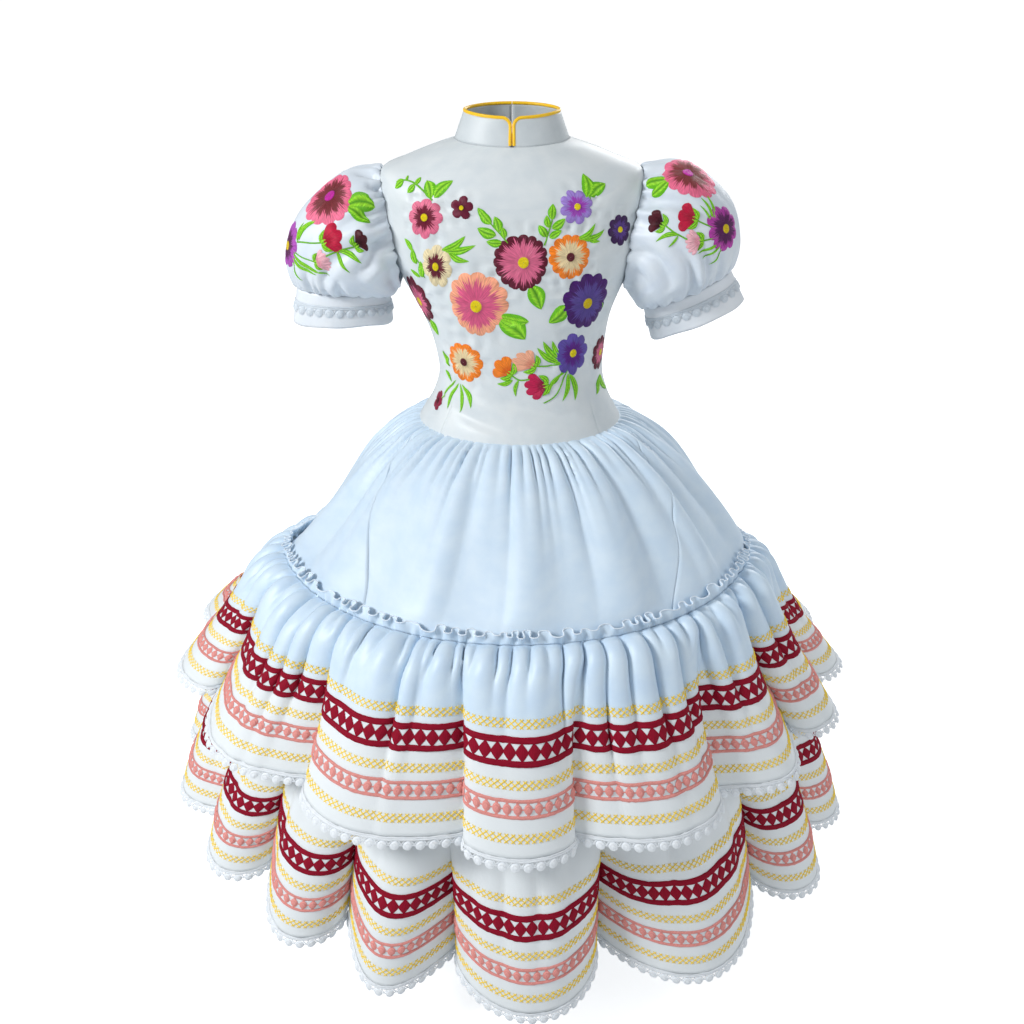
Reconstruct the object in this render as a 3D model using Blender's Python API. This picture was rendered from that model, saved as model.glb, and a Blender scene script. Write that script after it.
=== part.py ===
"""Child's escaramuza dress, filled out as it is when worn.

Metres, +Z up, the front of the dress faces -Y. The origin is the middle of the neck, level
with the collar seam, where the wearer's neck and shoulders carry the dress.
Angles run round the body from the front (0 degrees) by the wearer's left side (90, +X) to
the back (180). Every piece of cloth is a wall: a grid of outer points, rows from top to
bottom and columns round the body, with an inner grid one wall thickness behind it.
"""

import bpy
import numpy as np

# Walls and seams
CLOTH = 0.0016            # thickness of every cloth wall
TRIM = 0.0012             # thickness of lace and bands
SEAM = 0.0003             # gap between two pieces at a seam
LAP = 0.0005              # gap under a gathered strip that is sewn on top of a panel

# Bodice: one row for each section round the body, from the neck down to the dropped waist.
# z in front, at the side and at the back, half width, half depth in front and at the back,
# how far the middle of the section stands to the wearer's left, and how square the section
# is: 1 is an ellipse, less is squarer.
BODICE = np.array([
    # z_front, z_side, z_back, half_width, front, back, shift, squareness
    (-0.0045, -0.0010, 0.0010, 0.0605, 0.0500, 0.0480, 0.000, 0.95),    # neck seam
    (-0.0150, -0.0070, -0.0100, 0.0800, 0.0600, 0.0590, 0.000, 0.92),   # yoke
    (-0.0340, -0.0180, -0.0280, 0.1090, 0.0720, 0.0710, 0.000, 0.88),   # shoulder
    (-0.0600, -0.0330, -0.0500, 0.1390, 0.0810, 0.0800, 0.000, 0.86),   # shoulder tip
    (-0.0860, -0.0680, -0.0780, 0.1440, 0.0860, 0.0840, 0.000, 0.86),   # high chest
    (-0.1180, -0.1120, -0.1140, 0.1380, 0.0890, 0.0850, 0.001, 0.86),   # chest
    (-0.1520, -0.1520, -0.1520, 0.1190, 0.0880, 0.0830, 0.003, 0.86),   # underarm
    (-0.1830, -0.1830, -0.1830, 0.1050, 0.0850, 0.0800, 0.005, 0.86),
    (-0.2150, -0.2150, -0.2150, 0.0965, 0.0815, 0.0760, 0.008, 0.88),
    (-0.2520, -0.2520, -0.2520, 0.0925, 0.0800, 0.0750, 0.010, 0.90),   # narrowest waist
    (-0.2800, -0.2800, -0.2800, 0.0995, 0.0860, 0.0820, 0.010, 0.94),
    (-0.3000, -0.3000, -0.3000, 0.1100, 0.0950, 0.0920, 0.009, 0.98),
    (-0.3120, -0.3120, -0.3120, 0.1170, 0.1000, 0.0980, 0.009, 1.00),   # dropped waist seam
])
ARM_TOP, ARM_BOTTOM = 3, 6          # BODICE rows at the shoulder tip and the underarm
ARM_HALF_ANGLE = 28.0     # degrees that the armhole reaches round from the side seam
ARM_STEPS = 6             # wall rows down the armhole
FRONT_COLUMNS = 14
BACK_COLUMNS = 7
ZIP_HALF_WIDTH = 0.011    # half the width of the closed zip's tapes

# Collar, a stand collar in two halves with rounded front corners
COLLAR_HEIGHT = 0.0270
COLLAR_TOP_WIDTH = 0.0505         # half width at the top edge
COLLAR_TOP_FRONT = 0.0440
COLLAR_TOP_BACK = 0.0430
COLLAR_CORNER = 0.0080    # radius of the front corners
PIPING_RADIUS = 0.0009
PIPING_ENDS = (0.0015, 0.0090)    # heights of the piping's first two points in the slit
PIPING_CORNER_POINTS = 5
COLLAR_ARC = 0.160        # length of one half round the base
COLLAR_STOPS = (0.0, 0.07, 0.25, 0.55, 1.0)       # columns across a corner, as shares of it
COLLAR_SIDE_COLUMNS = 8

# Sleeves: each row is an ellipse whose ends are its top and its underarm point. The first
# ring of a sleeve follows the armhole and the last one meets the cuff.
SLEEVE_LEFT = np.array([
    # top_x, top_z, under_x, under_z, half_depth, gather
    (0.1500, -0.0270, 0.1250, -0.1600, 0.0610, 0.0022),
    (0.1880, -0.0260, 0.1290, -0.1670, 0.0720, 0.0018),
    (0.2330, -0.0620, 0.1340, -0.1740, 0.0720, 0.0014),
    (0.2470, -0.1060, 0.1390, -0.1800, 0.0600, 0.0016),
    (0.2400, -0.1390, 0.1460, -0.1820, 0.0360, 0.0008),
])
SLEEVE_RIGHT = np.array([
    # top_x, top_z, under_x, under_z, half_depth, gather
    (0.1500, -0.0300, 0.1245, -0.1590, 0.0610, 0.0022),
    (0.1810, -0.0370, 0.1265, -0.1630, 0.0720, 0.0018),
    (0.2290, -0.0780, 0.1285, -0.1660, 0.0720, 0.0014),
    (0.2460, -0.1260, 0.1310, -0.1670, 0.0600, 0.0016),
    (0.2380, -0.1590, 0.1350, -0.1640, 0.0360, 0.0008),
])
SLEEVE_COLUMNS = 40       # two for each gather
UNDERARM_GATHER = 0.25    # share of the gathers' height that is left at the underarm
ARMHOLE_LAP = 0.0012      # how far the sleeve's edge lies outside the armhole's
ARM_ROW_DROP = 0.036      # height of one BODICE row beside the armhole
ARM_REACH = 0.12          # from the middle of the body to the armhole
# The cuff's lower edge: top_x, top_z, under_x, under_z, half_depth
CUFF_EDGE_LEFT = (0.2580, -0.1740, 0.1560, -0.2180, 0.0340)
CUFF_EDGE_RIGHT = (0.2450, -0.1990, 0.1330, -0.1980, 0.0340)
CUFF_COLUMNS = 24
CUFF_GAP = 0.00045        # between the puff's last ring and the cuff
CUFF_LACE_TOP, CUFF_LACE_BOTTOM = 0.52, 0.82      # shares of the cuff's height

# Skirt: z in front and at the side, radius in front, at the side and at the back, shift, the
# seam of the front panel and that of the back panel in degrees from the front, the height of
# the small gathers and of the broad soft folds.
SKIRT = np.array([
    # z_front, z_side, front, side, back, shift, seam_f, seam_b, gather, fold
    (-0.3125, -0.3125, 0.1004, 0.1174, 0.0984, 0.009, 66.0, 122.0, 0.0010, 0.0000),
    (-0.3210, -0.3250, 0.1180, 0.1390, 0.1180, 0.010, 63.0, 124.0, 0.0034, 0.0008),
    (-0.3460, -0.3540, 0.1560, 0.1790, 0.1600, 0.012, 56.0, 128.0, 0.0028, 0.0026),
    (-0.3880, -0.3960, 0.2080, 0.2200, 0.2120, 0.013, 47.0, 134.0, 0.0012, 0.0040),
    (-0.4250, -0.4290, 0.2470, 0.2500, 0.2500, 0.011, 41.0, 139.0, 0.0003, 0.0022),
    (-0.4440, -0.4460, 0.2640, 0.2650, 0.2670, 0.008, 38.0, 141.0, 0.0000, 0.0005),
    (-0.4560, -0.4570, 0.2735, 0.2740, 0.2770, 0.006, 36.0, 142.0, 0.0000, 0.0000),
    (-0.6500, -0.6050, 0.3120, 0.3350, 0.3200, 0.000, 34.0, 144.0, 0.0000, 0.0000),
])
# The gather line hangs lower at the sides and back than in front: how far, between which
# angles from the front it sinks, and between which heights that grows and fades again.
BACK_SINK = 0.045
SINK_ANGLES = (65.0, 120.0)
SINK_GROWS, SINK_FADES = (-0.33, -0.44), (-0.50, -0.63)
HEADING_ROW, GATHER_ROW = 5, 6      # SKIRT rows under the frill's edge and the gather line
SKIRT_FRONT_COLUMNS = 26
SKIRT_SIDE_COLUMNS = 16
SKIRT_BACK_COLUMNS = 22
BROAD_FOLDS = 14          # soft folds round the skirt
FOLD_DRIFT = 25.0         # degrees that their spacing wanders, three times round the skirt

# Ruffles: z in front and at the side, radius in front, at the side and at the back, the share
# of the fold depth that the row shows, and the height of the small gathers. The rows after
# the first are at the edges of the sewn-on bands, so that a band lies on whole wall rows.
RUFFLE_UPPER = np.array([
    # z_front, z_side, front, side, back, fold_share, gather
    (-0.4820, -0.4840, 0.3070, 0.3120, 0.3130, 0.30, 0.0040),     # below the gathers
    (-0.5260, -0.5190, 0.3360, 0.3390, 0.3430, 0.60, 0.0016),     # top of the red band
    (-0.5530, -0.5410, 0.3480, 0.3560, 0.3560, 0.74, 0.0006),     # bottom of the red band
    (-0.5850, -0.5650, 0.3600, 0.3745, 0.3690, 0.86, 0.0000),     # top of the pink band
    (-0.6040, -0.5795, 0.3670, 0.3855, 0.3770, 0.92, 0.0000),     # bottom of the pink band
    (-0.6380, -0.6070, 0.3800, 0.4050, 0.3920, 1.00, 0.0000),     # hem
])
RUFFLE_LOWER = np.array([
    # z_front, z_side, front, side, back, fold_share, gather
    (-0.6504, -0.6054, 0.3125, 0.3356, 0.3206, 0.00, 0.0008),     # sewn to the skirt
    (-0.7400, -0.6830, 0.3500, 0.3820, 0.3620, 0.62, 0.0016),     # top of the red band
    (-0.7690, -0.7080, 0.3570, 0.3950, 0.3710, 0.75, 0.0006),     # bottom of the red band
    (-0.8020, -0.7370, 0.3630, 0.4080, 0.3780, 0.88, 0.0000),     # top of the pink band
    (-0.8210, -0.7540, 0.3660, 0.4150, 0.3820, 0.94, 0.0000),     # bottom of the pink band
    (-0.8570, -0.7860, 0.3710, 0.4260, 0.3880, 1.00, 0.0000),     # hem
])
RED_ROWS = (1, 2)         # rows of either ruffle table that the red band joins
PINK_ROWS = (3, 4)
# Folds of each ruffle: where the valley lies, in degrees, and how deep it is at the hem
FOLDS_UPPER = np.array([
    (-9.5, 0.020), (11.0, 0.024), (39.0, 0.034), (56.0, 0.036), (75.0, 0.034),
    (95.0, 0.030), (118.0, 0.026), (142.0, 0.030), (165.0, 0.026), (189.0, 0.030),
    (214.0, 0.026), (241.0, 0.030), (270.0, 0.032), (295.0, 0.034), (321.0, 0.034),
])
FOLDS_LOWER = np.array([
    (-12.0, 0.066), (17.5, 0.086), (48.0, 0.060), (68.0, 0.045), (90.0, 0.042),
    (114.0, 0.045), (138.0, 0.048), (162.0, 0.050), (186.0, 0.052), (210.0, 0.048),
    (234.0, 0.045), (256.0, 0.042), (276.0, 0.042), (296.0, 0.045), (314.0, 0.052),
    (332.0, 0.058),
])
UPPER_STEPS = 6           # columns in each fold
LOWER_STEPS = 5
FOLD_ROUNDNESS = 0.7      # less makes fuller lobes and sharper valleys
LOWER_VALLEY_LIFT = 0.35  # the lower hem rises in a valley by this share of its depth
UPPER_VALLEY_LIFT = 0.10
LOWER_DROP = 0.028        # the lower hem hangs this much lower at the wearer's left side
UPPER_DROP = 0.010
FRILL_WAVE = 0.0055       # how far the heading frill waves out
GATHER_LINE_WAVE = 0.0008
FRILL_RISE = 0.0060       # how far the frill's edge stands off the skirt at its troughs
LACE_DROP = 0.0135        # height of the lace below a hem

PALE_BLUE = (0.68, 0.80, 0.93)
ICE_WHITE = (0.78, 0.84, 0.90)
DARK_RED = (0.33, 0.005, 0.030)
ROSE_PINK = (0.76, 0.27, 0.27)
YELLOW = (0.90, 0.58, 0.03)
LACE_WHITE = (0.86, 0.90, 0.94)
ZIP_WHITE = (0.75, 0.80, 0.86)


def finish(name, colour, roughness):
    """A plain satin or thread material with its own colour."""
    material = bpy.data.materials.new(name + "_material")
    material.use_nodes = True
    shader = material.node_tree.nodes["Principled BSDF"]
    shader.inputs["Base Color"].default_value = (*colour, 1.0)
    shader.inputs["Roughness"].default_value = roughness
    shader.inputs["Metallic"].default_value = 0.0
    shader.inputs["Sheen Weight"].default_value = 0.3
    return material


def grid_normals(grid, closed):
    """Unit normals of a grid: the way down crossed with the way round, at each point."""
    down = np.gradient(grid, axis=0)
    if closed:
        around = np.roll(grid, -1, axis=1) - np.roll(grid, 1, axis=1)
    else:
        around = np.gradient(grid, axis=1)
    normal = np.cross(down, around)
    return normal / np.linalg.norm(normal, axis=2, keepdims=True)


def moved_out(grid, distance, closed):
    """The grid's points, moved along its normals."""
    return grid + distance * grid_normals(grid, closed)


def wall(name, outer, inner, closed, colour, roughness=0.45):
    """A closed solid between two grids. All cells are cut along the same diagonal, so that a
    piece made from a panel's own points, moved out, keeps its gap to it everywhere."""
    rows, columns = outer.shape[:2]
    index = np.arange(rows * columns).reshape(rows, columns)
    if closed:
        index = np.hstack([index, index[:, :1]])
    inside = index + rows * columns

    def quads(a, b, c, d):
        corners = np.stack([part.ravel() for part in (a, b, c, d)], axis=1)
        return np.vstack([corners[:, (0, 1, 2)], corners[:, (0, 2, 3)]])

    faces = [
        quads(index[:-1, :-1], index[1:, :-1], index[1:, 1:], index[:-1, 1:]),
        quads(inside[:-1, :-1], inside[:-1, 1:], inside[1:, 1:], inside[1:, :-1]),
        quads(index[:1, :-1], index[:1, 1:], inside[:1, 1:], inside[:1, :-1]),
        quads(index[-1:, :-1], inside[-1:, :-1], inside[-1:, 1:], index[-1:, 1:]),
    ]
    if not closed:
        faces.append(quads(index[:-1, :1], inside[:-1, :1], inside[1:, :1], index[1:, :1]))
        faces.append(quads(index[:-1, -1:], index[1:, -1:], inside[1:, -1:], inside[:-1, -1:]))
    points = np.vstack([outer.reshape(-1, 3), inner.reshape(-1, 3)])
    mesh = bpy.data.meshes.new(name)
    mesh.from_pydata(points.tolist(), [], np.vstack(faces).tolist())
    mesh.shade_smooth()
    mesh.set_sharp_from_angle(angle=np.radians(50.0))
    piece = bpy.data.objects.new(name, mesh)
    bpy.context.scene.collection.objects.link(piece)
    mesh.materials.append(finish(name, colour, roughness))
    return piece


def cloth(name, outer, closed, colour, thickness=CLOTH, roughness=0.45):
    """A wall whose inner face lies one thickness behind the outer grid."""
    inner = moved_out(outer, -thickness, closed)
    return wall(name, outer, inner, closed, colour, roughness)


def laid_on(name, panel, rows, colour, roughness=0.6):
    """A band on a closed panel: the panel's own points between two rows, moved out."""
    near = moved_out(panel, SEAM, True)[rows[0]:rows[1] + 1]
    far = moved_out(panel, SEAM + TRIM, True)[rows[0]:rows[1] + 1]
    return wall(name, far, near, True, colour, roughness)


def between_rows(table, level):
    """Values between the rows of a table, on a smooth curve through all of them."""
    level = np.clip(np.asarray(level, float), 0, len(table) - 1)
    first = np.minimum(level.astype(int), len(table) - 2)
    t = (level - first)[..., None]
    p0 = table[np.maximum(first - 1, 0)]
    p1 = table[first]
    p2 = table[first + 1]
    p3 = table[np.minimum(first + 2, len(table) - 1)]
    return 0.5 * (2 * p1 + (p2 - p0) * t + (2 * p0 - 5 * p1 + 4 * p2 - p3) * t ** 2
                  + (3 * p1 - p0 - 3 * p2 + p3) * t ** 3)


def rounded(value, squareness):
    return np.sign(value) * np.abs(value) ** squareness


def torso(angle, level):
    """A point of the bodice's outer face at an angle in degrees and a level in the table."""
    z_front, z_side, z_back, width, front, back, shift, squareness = np.moveaxis(
        between_rows(BODICE, level), -1, 0)
    sine, cosine = np.sin(np.radians(angle)), np.cos(np.radians(angle))
    depth = np.where(cosine > 0, front, back)
    z_middle = np.where(cosine > 0, z_front, z_back)
    return np.stack([
        shift + width * rounded(sine, squareness),
        -depth * rounded(cosine, squareness),
        z_side + (z_middle - z_side) * cosine ** 2,
    ], axis=-1)


def torso_normal(angle, level):
    """The bodice's outward direction, from four points close round each point."""
    degree, step = 1.0, 0.02
    down = torso(angle, level + step) - torso(angle, level - step)
    around = torso(angle + degree, level) - torso(angle - degree, level)
    normal = np.cross(down, around)
    return normal / np.linalg.norm(normal, axis=-1, keepdims=True)


def parted(*grids):
    """The grids with their first and last columns drawn back by half a seam's gap."""
    drawn = []
    for grid in grids:
        grid = grid.copy()
        for end, inward in ((0, 1), (-1, -2)):
            way = grid[:, inward] - grid[:, end]
            grid[:, end] += SEAM / 2 * way / np.linalg.norm(way, axis=1, keepdims=True)
        drawn.append(grid)
    return drawn


def smooth(value, start, end):
    """0 at the start and 1 at the end, on an S-curve."""
    share = np.clip((value - start) / (end - start), 0, 1)
    return share * share * (3 - 2 * share)


def sunk(angle, z):
    """How much lower the skirt and the upper ruffle hang at an angle and a height."""
    from_front = np.degrees(np.arccos(np.clip(np.cos(np.radians(angle)), -1, 1)))
    return (BACK_SINK * smooth(from_front, *SINK_ANGLES)
            * smooth(z, *SINK_GROWS) * (1 - smooth(z, *SINK_FADES)))


def round_body(angle, z_front, z_side, front, side, back, shift=0.0, out=0.0):
    """A point of the skirt or a ruffle, at an angle in degrees, standing out by a height."""
    sine, cosine = np.sin(np.radians(angle)), np.cos(np.radians(angle))
    depth = np.where(cosine > 0, front, back) + out
    z = z_side + (z_front - z_side) * cosine ** 2
    return np.stack([shift + (side + out) * sine, -depth * cosine, z - sunk(angle, z)], axis=-1)


def bodice_levels():
    """Levels of the bodice's rows: evenly round the armhole's curve, by the table elsewhere."""
    turn = np.linspace(0, np.pi, ARM_STEPS + 1)
    armhole = ARM_TOP + (ARM_BOTTOM - ARM_TOP) * (1 - np.cos(turn)) / 2
    above = np.arange(0, ARM_TOP)
    below = np.arange(ARM_BOTTOM + 1, len(BODICE))
    arm_angle = np.concatenate([0 * above, ARM_HALF_ANGLE * np.sin(turn), 0 * below])
    return np.concatenate([above, armhole, below]), arm_angle


def add_bodice():
    """Front, two backs that meet at the centre-back zip, and the zip's tapes behind them."""
    level, arm_angle = bodice_levels()
    level = level[:, None]
    span = np.linspace(-1, 1, FRONT_COLUMNS + 1)[None, :]
    front = (90.0 - arm_angle[:, None]) * span
    tape = 180.0 - np.degrees(ZIP_HALF_WIDTH / BODICE[:, 5].mean())
    share = np.linspace(0, 1, BACK_COLUMNS)[None, :]
    start = 90.0 + arm_angle[:, None]
    back = np.hstack([start + (tape - start) * share, np.full_like(start, 180.0)])
    shapes = {}
    for name, angle in (("bodice_front", front), ("bodice_back_left", back),
                        ("bodice_back_right", -back[:, ::-1])):
        outer = torso(angle, level)
        normal = torso_normal(angle, level)
        wall(name, *parted(outer, outer - CLOTH * normal), False, ICE_WHITE)
        shapes[name] = outer, normal

    outer, normal = (np.hstack([left[1:, -2:], right[1:, 1:2]]) for left, right in zip(
        shapes["bodice_back_left"], shapes["bodice_back_right"]))
    near = outer - (CLOTH + SEAM) * normal
    wall("zip_back", near, near - TRIM * normal, False, ZIP_WHITE, 0.6)


def collar_point(along, height, side, depth=0.0):
    """A point of a collar half: along from the front, up from the seam, depth into the wall."""
    angle = 180.0 * along / COLLAR_ARC
    share = height / COLLAR_HEIGHT
    seam = BODICE[0]
    width = seam[3] + (COLLAR_TOP_WIDTH - seam[3]) * share - depth
    front = seam[4] + (COLLAR_TOP_FRONT - seam[4]) * share - depth
    back = seam[5] + (COLLAR_TOP_BACK - seam[5]) * share - depth
    sine, cosine = np.sin(np.radians(angle)), np.cos(np.radians(angle))
    z_seam = np.where(cosine > 0, seam[0], seam[2])
    return np.stack([
        side * width * rounded(sine, seam[7]),
        -np.where(cosine > 0, front, back) * rounded(cosine, seam[7]),
        seam[1] + (z_seam - seam[1]) * cosine ** 2 + SEAM + height,
    ], axis=-1)


def add_collar():
    """Two halves with rounded front corners, and a piping cord round each one's free edge."""
    slit = SEAM / 2 + 2 * PIPING_RADIUS + SEAM
    corner = slit + COLLAR_CORNER * np.array(COLLAR_STOPS)
    rest = np.linspace(corner[-1], COLLAR_ARC - SEAM / 2, COLLAR_SIDE_COLUMNS + 1)[1:]
    along = np.concatenate([corner, rest])
    reach = np.clip((corner[-1] - along) / COLLAR_CORNER, 0, 1)
    top = COLLAR_HEIGHT - COLLAR_CORNER * (1 - np.sqrt(1 - reach ** 2))
    height = np.stack([top, top / 2, 0 * top])
    turn = np.linspace(np.pi, np.pi / 2, PIPING_CORNER_POINTS)
    offset = SEAM + PIPING_RADIUS
    arc = COLLAR_CORNER + offset
    path_along = np.concatenate([
        [slit - offset, slit - offset], corner[-1] + arc * np.cos(turn), rest - PIPING_RADIUS])
    path_height = np.concatenate([
        PIPING_ENDS, COLLAR_HEIGHT - COLLAR_CORNER + arc * np.sin(turn),
        np.full(len(rest), COLLAR_HEIGHT + offset)])
    for word, side in (("left", 1), ("right", -1)):
        order = slice(None) if side == 1 else slice(None, None, -1)
        outer = collar_point(along[None, :], height, side)[:, order]
        inner = collar_point(along[None, :], height, side, CLOTH)[:, order]
        wall("collar_" + word, outer, inner, False, ICE_WHITE)
        path = collar_point(path_along, path_height, side, CLOTH / 2)
        cord = bpy.data.curves.new("piping_" + word, "CURVE")
        cord.dimensions = "3D"
        cord.bevel_depth = PIPING_RADIUS
        cord.bevel_resolution = 1
        cord.use_fill_caps = True
        spline = cord.splines.new("POLY")
        spline.points.add(len(path) - 1)
        for point, place in zip(spline.points, path):
            point.co = (*place, 1.0)
        cord.materials.append(finish("piping_" + word, YELLOW, 0.4))
        piece = bpy.data.objects.new("piping_" + word, cord)
        bpy.context.scene.collection.objects.link(piece)


def ellipse(top_x, top_z, under_x, under_z, half_depth, turn, out=0.0):
    """A ring of a sleeve: from its top point by its front to its underarm point and back."""
    top, under = np.array([top_x, 0, top_z]), np.array([under_x, 0, under_z])
    middle, arm = (top + under) / 2, (top - under) / 2
    across = (1 + out / np.linalg.norm(arm)) * np.cos(turn)
    forward = (half_depth + out) * np.sin(turn)
    return middle + np.outer(across, arm) + np.outer(forward, (0.0, -1.0, 0.0))


def armhole(turn, lap):
    """The sleeve's seam, on the bodice's outer face just outside the armhole's edge."""
    middle = (ARM_TOP + ARM_BOTTOM) / 2
    half = (ARM_BOTTOM - ARM_TOP) / 2 + lap / ARM_ROW_DROP
    angle = 90.0 - (ARM_HALF_ANGLE + np.degrees(lap / ARM_REACH)) * np.sin(turn)
    level = middle - half * np.cos(turn)
    return torso(angle, level) + LAP * torso_normal(angle, level)


def mirrored(grid):
    """The same piece on the other side of the body, with its columns still in order."""
    return (grid * np.array([-1.0, 1.0, 1.0]))[:, ::-1]


def add_sleeves():
    """A puff from the armhole to the cuff, the cuff, and the row of lace on the cuff."""
    turn = np.linspace(0, 2 * np.pi, SLEEVE_COLUMNS, endpoint=False)
    cuff_turn = np.linspace(0, 2 * np.pi, CUFF_COLUMNS, endpoint=False)
    crest = np.arange(SLEEVE_COLUMNS) % 2
    fullness = UNDERARM_GATHER + (1 - UNDERARM_GATHER) * (1 + np.cos(turn)) / 2
    for word, table, hem in (("left", SLEEVE_LEFT, CUFF_EDGE_LEFT),
                             ("right", SLEEVE_RIGHT, CUFF_EDGE_RIGHT)):
        rings = [armhole(turn, ARMHOLE_LAP)]
        for row in table:
            rings.append(ellipse(*row[:5], turn, row[5] * crest * fullness))
        puff = np.stack(rings)[:, ::-1]
        seam, edge = np.array(table[-1][:5]), np.array(hem)
        fall = np.array([edge[0] + edge[2] - seam[0] - seam[2], 0,
                         edge[1] + edge[3] - seam[1] - seam[3]])
        gap = CUFF_GAP * fall / np.linalg.norm(fall)
        cuff_rings = []
        for share in (0.0, CUFF_LACE_TOP, CUFF_LACE_BOTTOM, 1.0):
            cuff_rings.append(ellipse(*(seam + (edge - seam) * share), cuff_turn) + gap)
        cuff = np.stack(cuff_rings)[:, ::-1]
        if word == "right":
            puff, cuff = mirrored(puff), mirrored(cuff)
        cloth("sleeve_" + word, puff, True, PALE_BLUE)
        cloth("cuff_" + word, cuff, True, ICE_WHITE)
        laid_on("cuff_lace_" + word, cuff, (1, 2), LACE_WHITE)


def skirt_point(angle, row, crest=0.0, out=0.0):
    """A point of the skirt at a table row, with its gathers and broad folds."""
    z_front, z_side, front, side, back, shift, _, _, gather, fold = row
    drift = FOLD_DRIFT * np.sin(np.radians(3 * angle))
    wave = fold * (1 + np.cos(np.radians(BROAD_FOLDS * angle + drift))) / 2
    return round_body(angle, z_front, z_side, front, side, back, shift,
                      gather * crest + wave + out)


def add_skirt():
    """Front, back and two side panels, from the waist seam down under the upper ruffle."""
    seam_front, seam_back = SKIRT[:, 6:7], SKIRT[:, 7:8]
    panels = (
        ("skirt_front", -seam_front, seam_front, SKIRT_FRONT_COLUMNS),
        ("skirt_side_left", seam_front, seam_back, SKIRT_SIDE_COLUMNS),
        ("skirt_back", seam_back, 360 - seam_back, SKIRT_BACK_COLUMNS),
        ("skirt_side_right", 360 - seam_back, 360 - seam_front, SKIRT_SIDE_COLUMNS),
    )
    angle = np.hstack([start + (end - start) * np.arange(columns) / columns
                       for _, start, end, columns in panels])
    crest = np.arange(angle.shape[1]) % 2
    outer = np.stack([skirt_point(place, row, crest) for place, row in zip(angle, SKIRT)])
    inner = moved_out(outer, -CLOTH, True)
    outer, inner = (np.hstack([grid, grid[:, :1]]) for grid in (outer, inner))
    first = 0
    for name, _, _, columns in panels:
        cut = slice(first, first + columns + 1)
        wall(name, *parted(outer[:, cut], inner[:, cut]), False, PALE_BLUE)
        first += columns


def fold_columns(folds, steps):
    """Angle, valley depth share and valley depth of each column round a folded ruffle."""
    valley = np.append(folds[:, 0], folds[0, 0] + 360.0)
    depth = np.append(folds[:, 1], folds[0, 1])
    place = np.arange(len(folds) * steps) / steps
    angle = np.interp(place, np.arange(len(valley)), valley)
    lobe = np.abs(np.sin(np.pi * place)) ** FOLD_ROUNDNESS
    return angle, (1 - lobe) * np.interp(place, np.arange(len(depth)), depth)


def ruffle_rows(table, angle, valley, lift, drop):
    """The rows of a ruffle, with folds that deepen towards the hem and gathers that fade."""
    crest = np.arange(len(angle)) % 2
    rows = []
    for z_front, z_side, front, side, back, share, gather in table:
        row = round_body(angle, z_front, z_side, front, side, back,
                         out=gather * crest - share * valley)
        row[:, 2] += share * (lift * valley - drop * np.sin(np.radians(angle)))
        rows.append(row)
    return rows


def add_tier(word, ruffle, first_row):
    """One ruffle with the two bands sewn on it and the lace that hangs from its hem."""
    cloth("ruffle_" + word, ruffle, True, PALE_BLUE)
    for band, rows, colour in (("red", RED_ROWS, DARK_RED), ("pink", PINK_ROWS, ROSE_PINK)):
        laid_on("band_%s_%s" % (band, word), ruffle,
                (rows[0] + first_row, rows[1] + first_row), colour)
    fall = ruffle[-1] - ruffle[-2]
    fall = fall / np.linalg.norm(fall, axis=1, keepdims=True)
    lace = np.stack([ruffle[-1] + SEAM * fall, ruffle[-1] + LACE_DROP * fall])
    cloth("lace_" + word, lace, True, LACE_WHITE, TRIM, 0.7)


def add_upper_tier():
    """The upper ruffle lies on the skirt at its gather line, under a standing frill."""
    angle, valley = fold_columns(FOLDS_UPPER, UPPER_STEPS)
    crest = np.arange(len(angle)) % 2
    above = CLOTH + LAP
    frill = skirt_point(angle, SKIRT[HEADING_ROW], out=above + FRILL_RISE + FRILL_WAVE * crest)
    gather_line = skirt_point(angle, SKIRT[GATHER_ROW], out=above + GATHER_LINE_WAVE * crest)
    rows = ruffle_rows(RUFFLE_UPPER, angle, valley, UPPER_VALLEY_LIFT, UPPER_DROP)
    add_tier("upper", np.stack([frill, gather_line] + rows), 2)


def add_lower_tier():
    """The lower ruffle hangs from the skirt's lower edge in deep round lobes."""
    angle, valley = fold_columns(FOLDS_LOWER, LOWER_STEPS)
    rows = ruffle_rows(RUFFLE_LOWER, angle, valley, LOWER_VALLEY_LIFT, LOWER_DROP)
    add_tier("lower", np.stack(rows), 0)


def main():
    for item in list(bpy.data.objects):
        bpy.data.objects.remove(item, do_unlink=True)
    add_bodice()
    add_collar()
    add_sleeves()
    add_skirt()
    add_upper_tier()
    add_lower_tier()


main()
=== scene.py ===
# %% [markdown]
# # A child's escaramuza dress
# The dress is pale satin: a fitted bodice with a stand collar, puff sleeves on straight cuffs, a
# gathered skirt, and two ruffles trimmed with guipure bands, cross-stitch rows and ball lace.
# Every piece below is a surface worked out with numpy: a function of two numbers, one across the
# cloth and one down it. The same function then says where the trims and the embroidery lie, so
# nothing has to be fitted by eye. Lengths are metres, in most tables millimetres, and +Z is up.
# The front faces -Y, and left and right are the wearer's.

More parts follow.
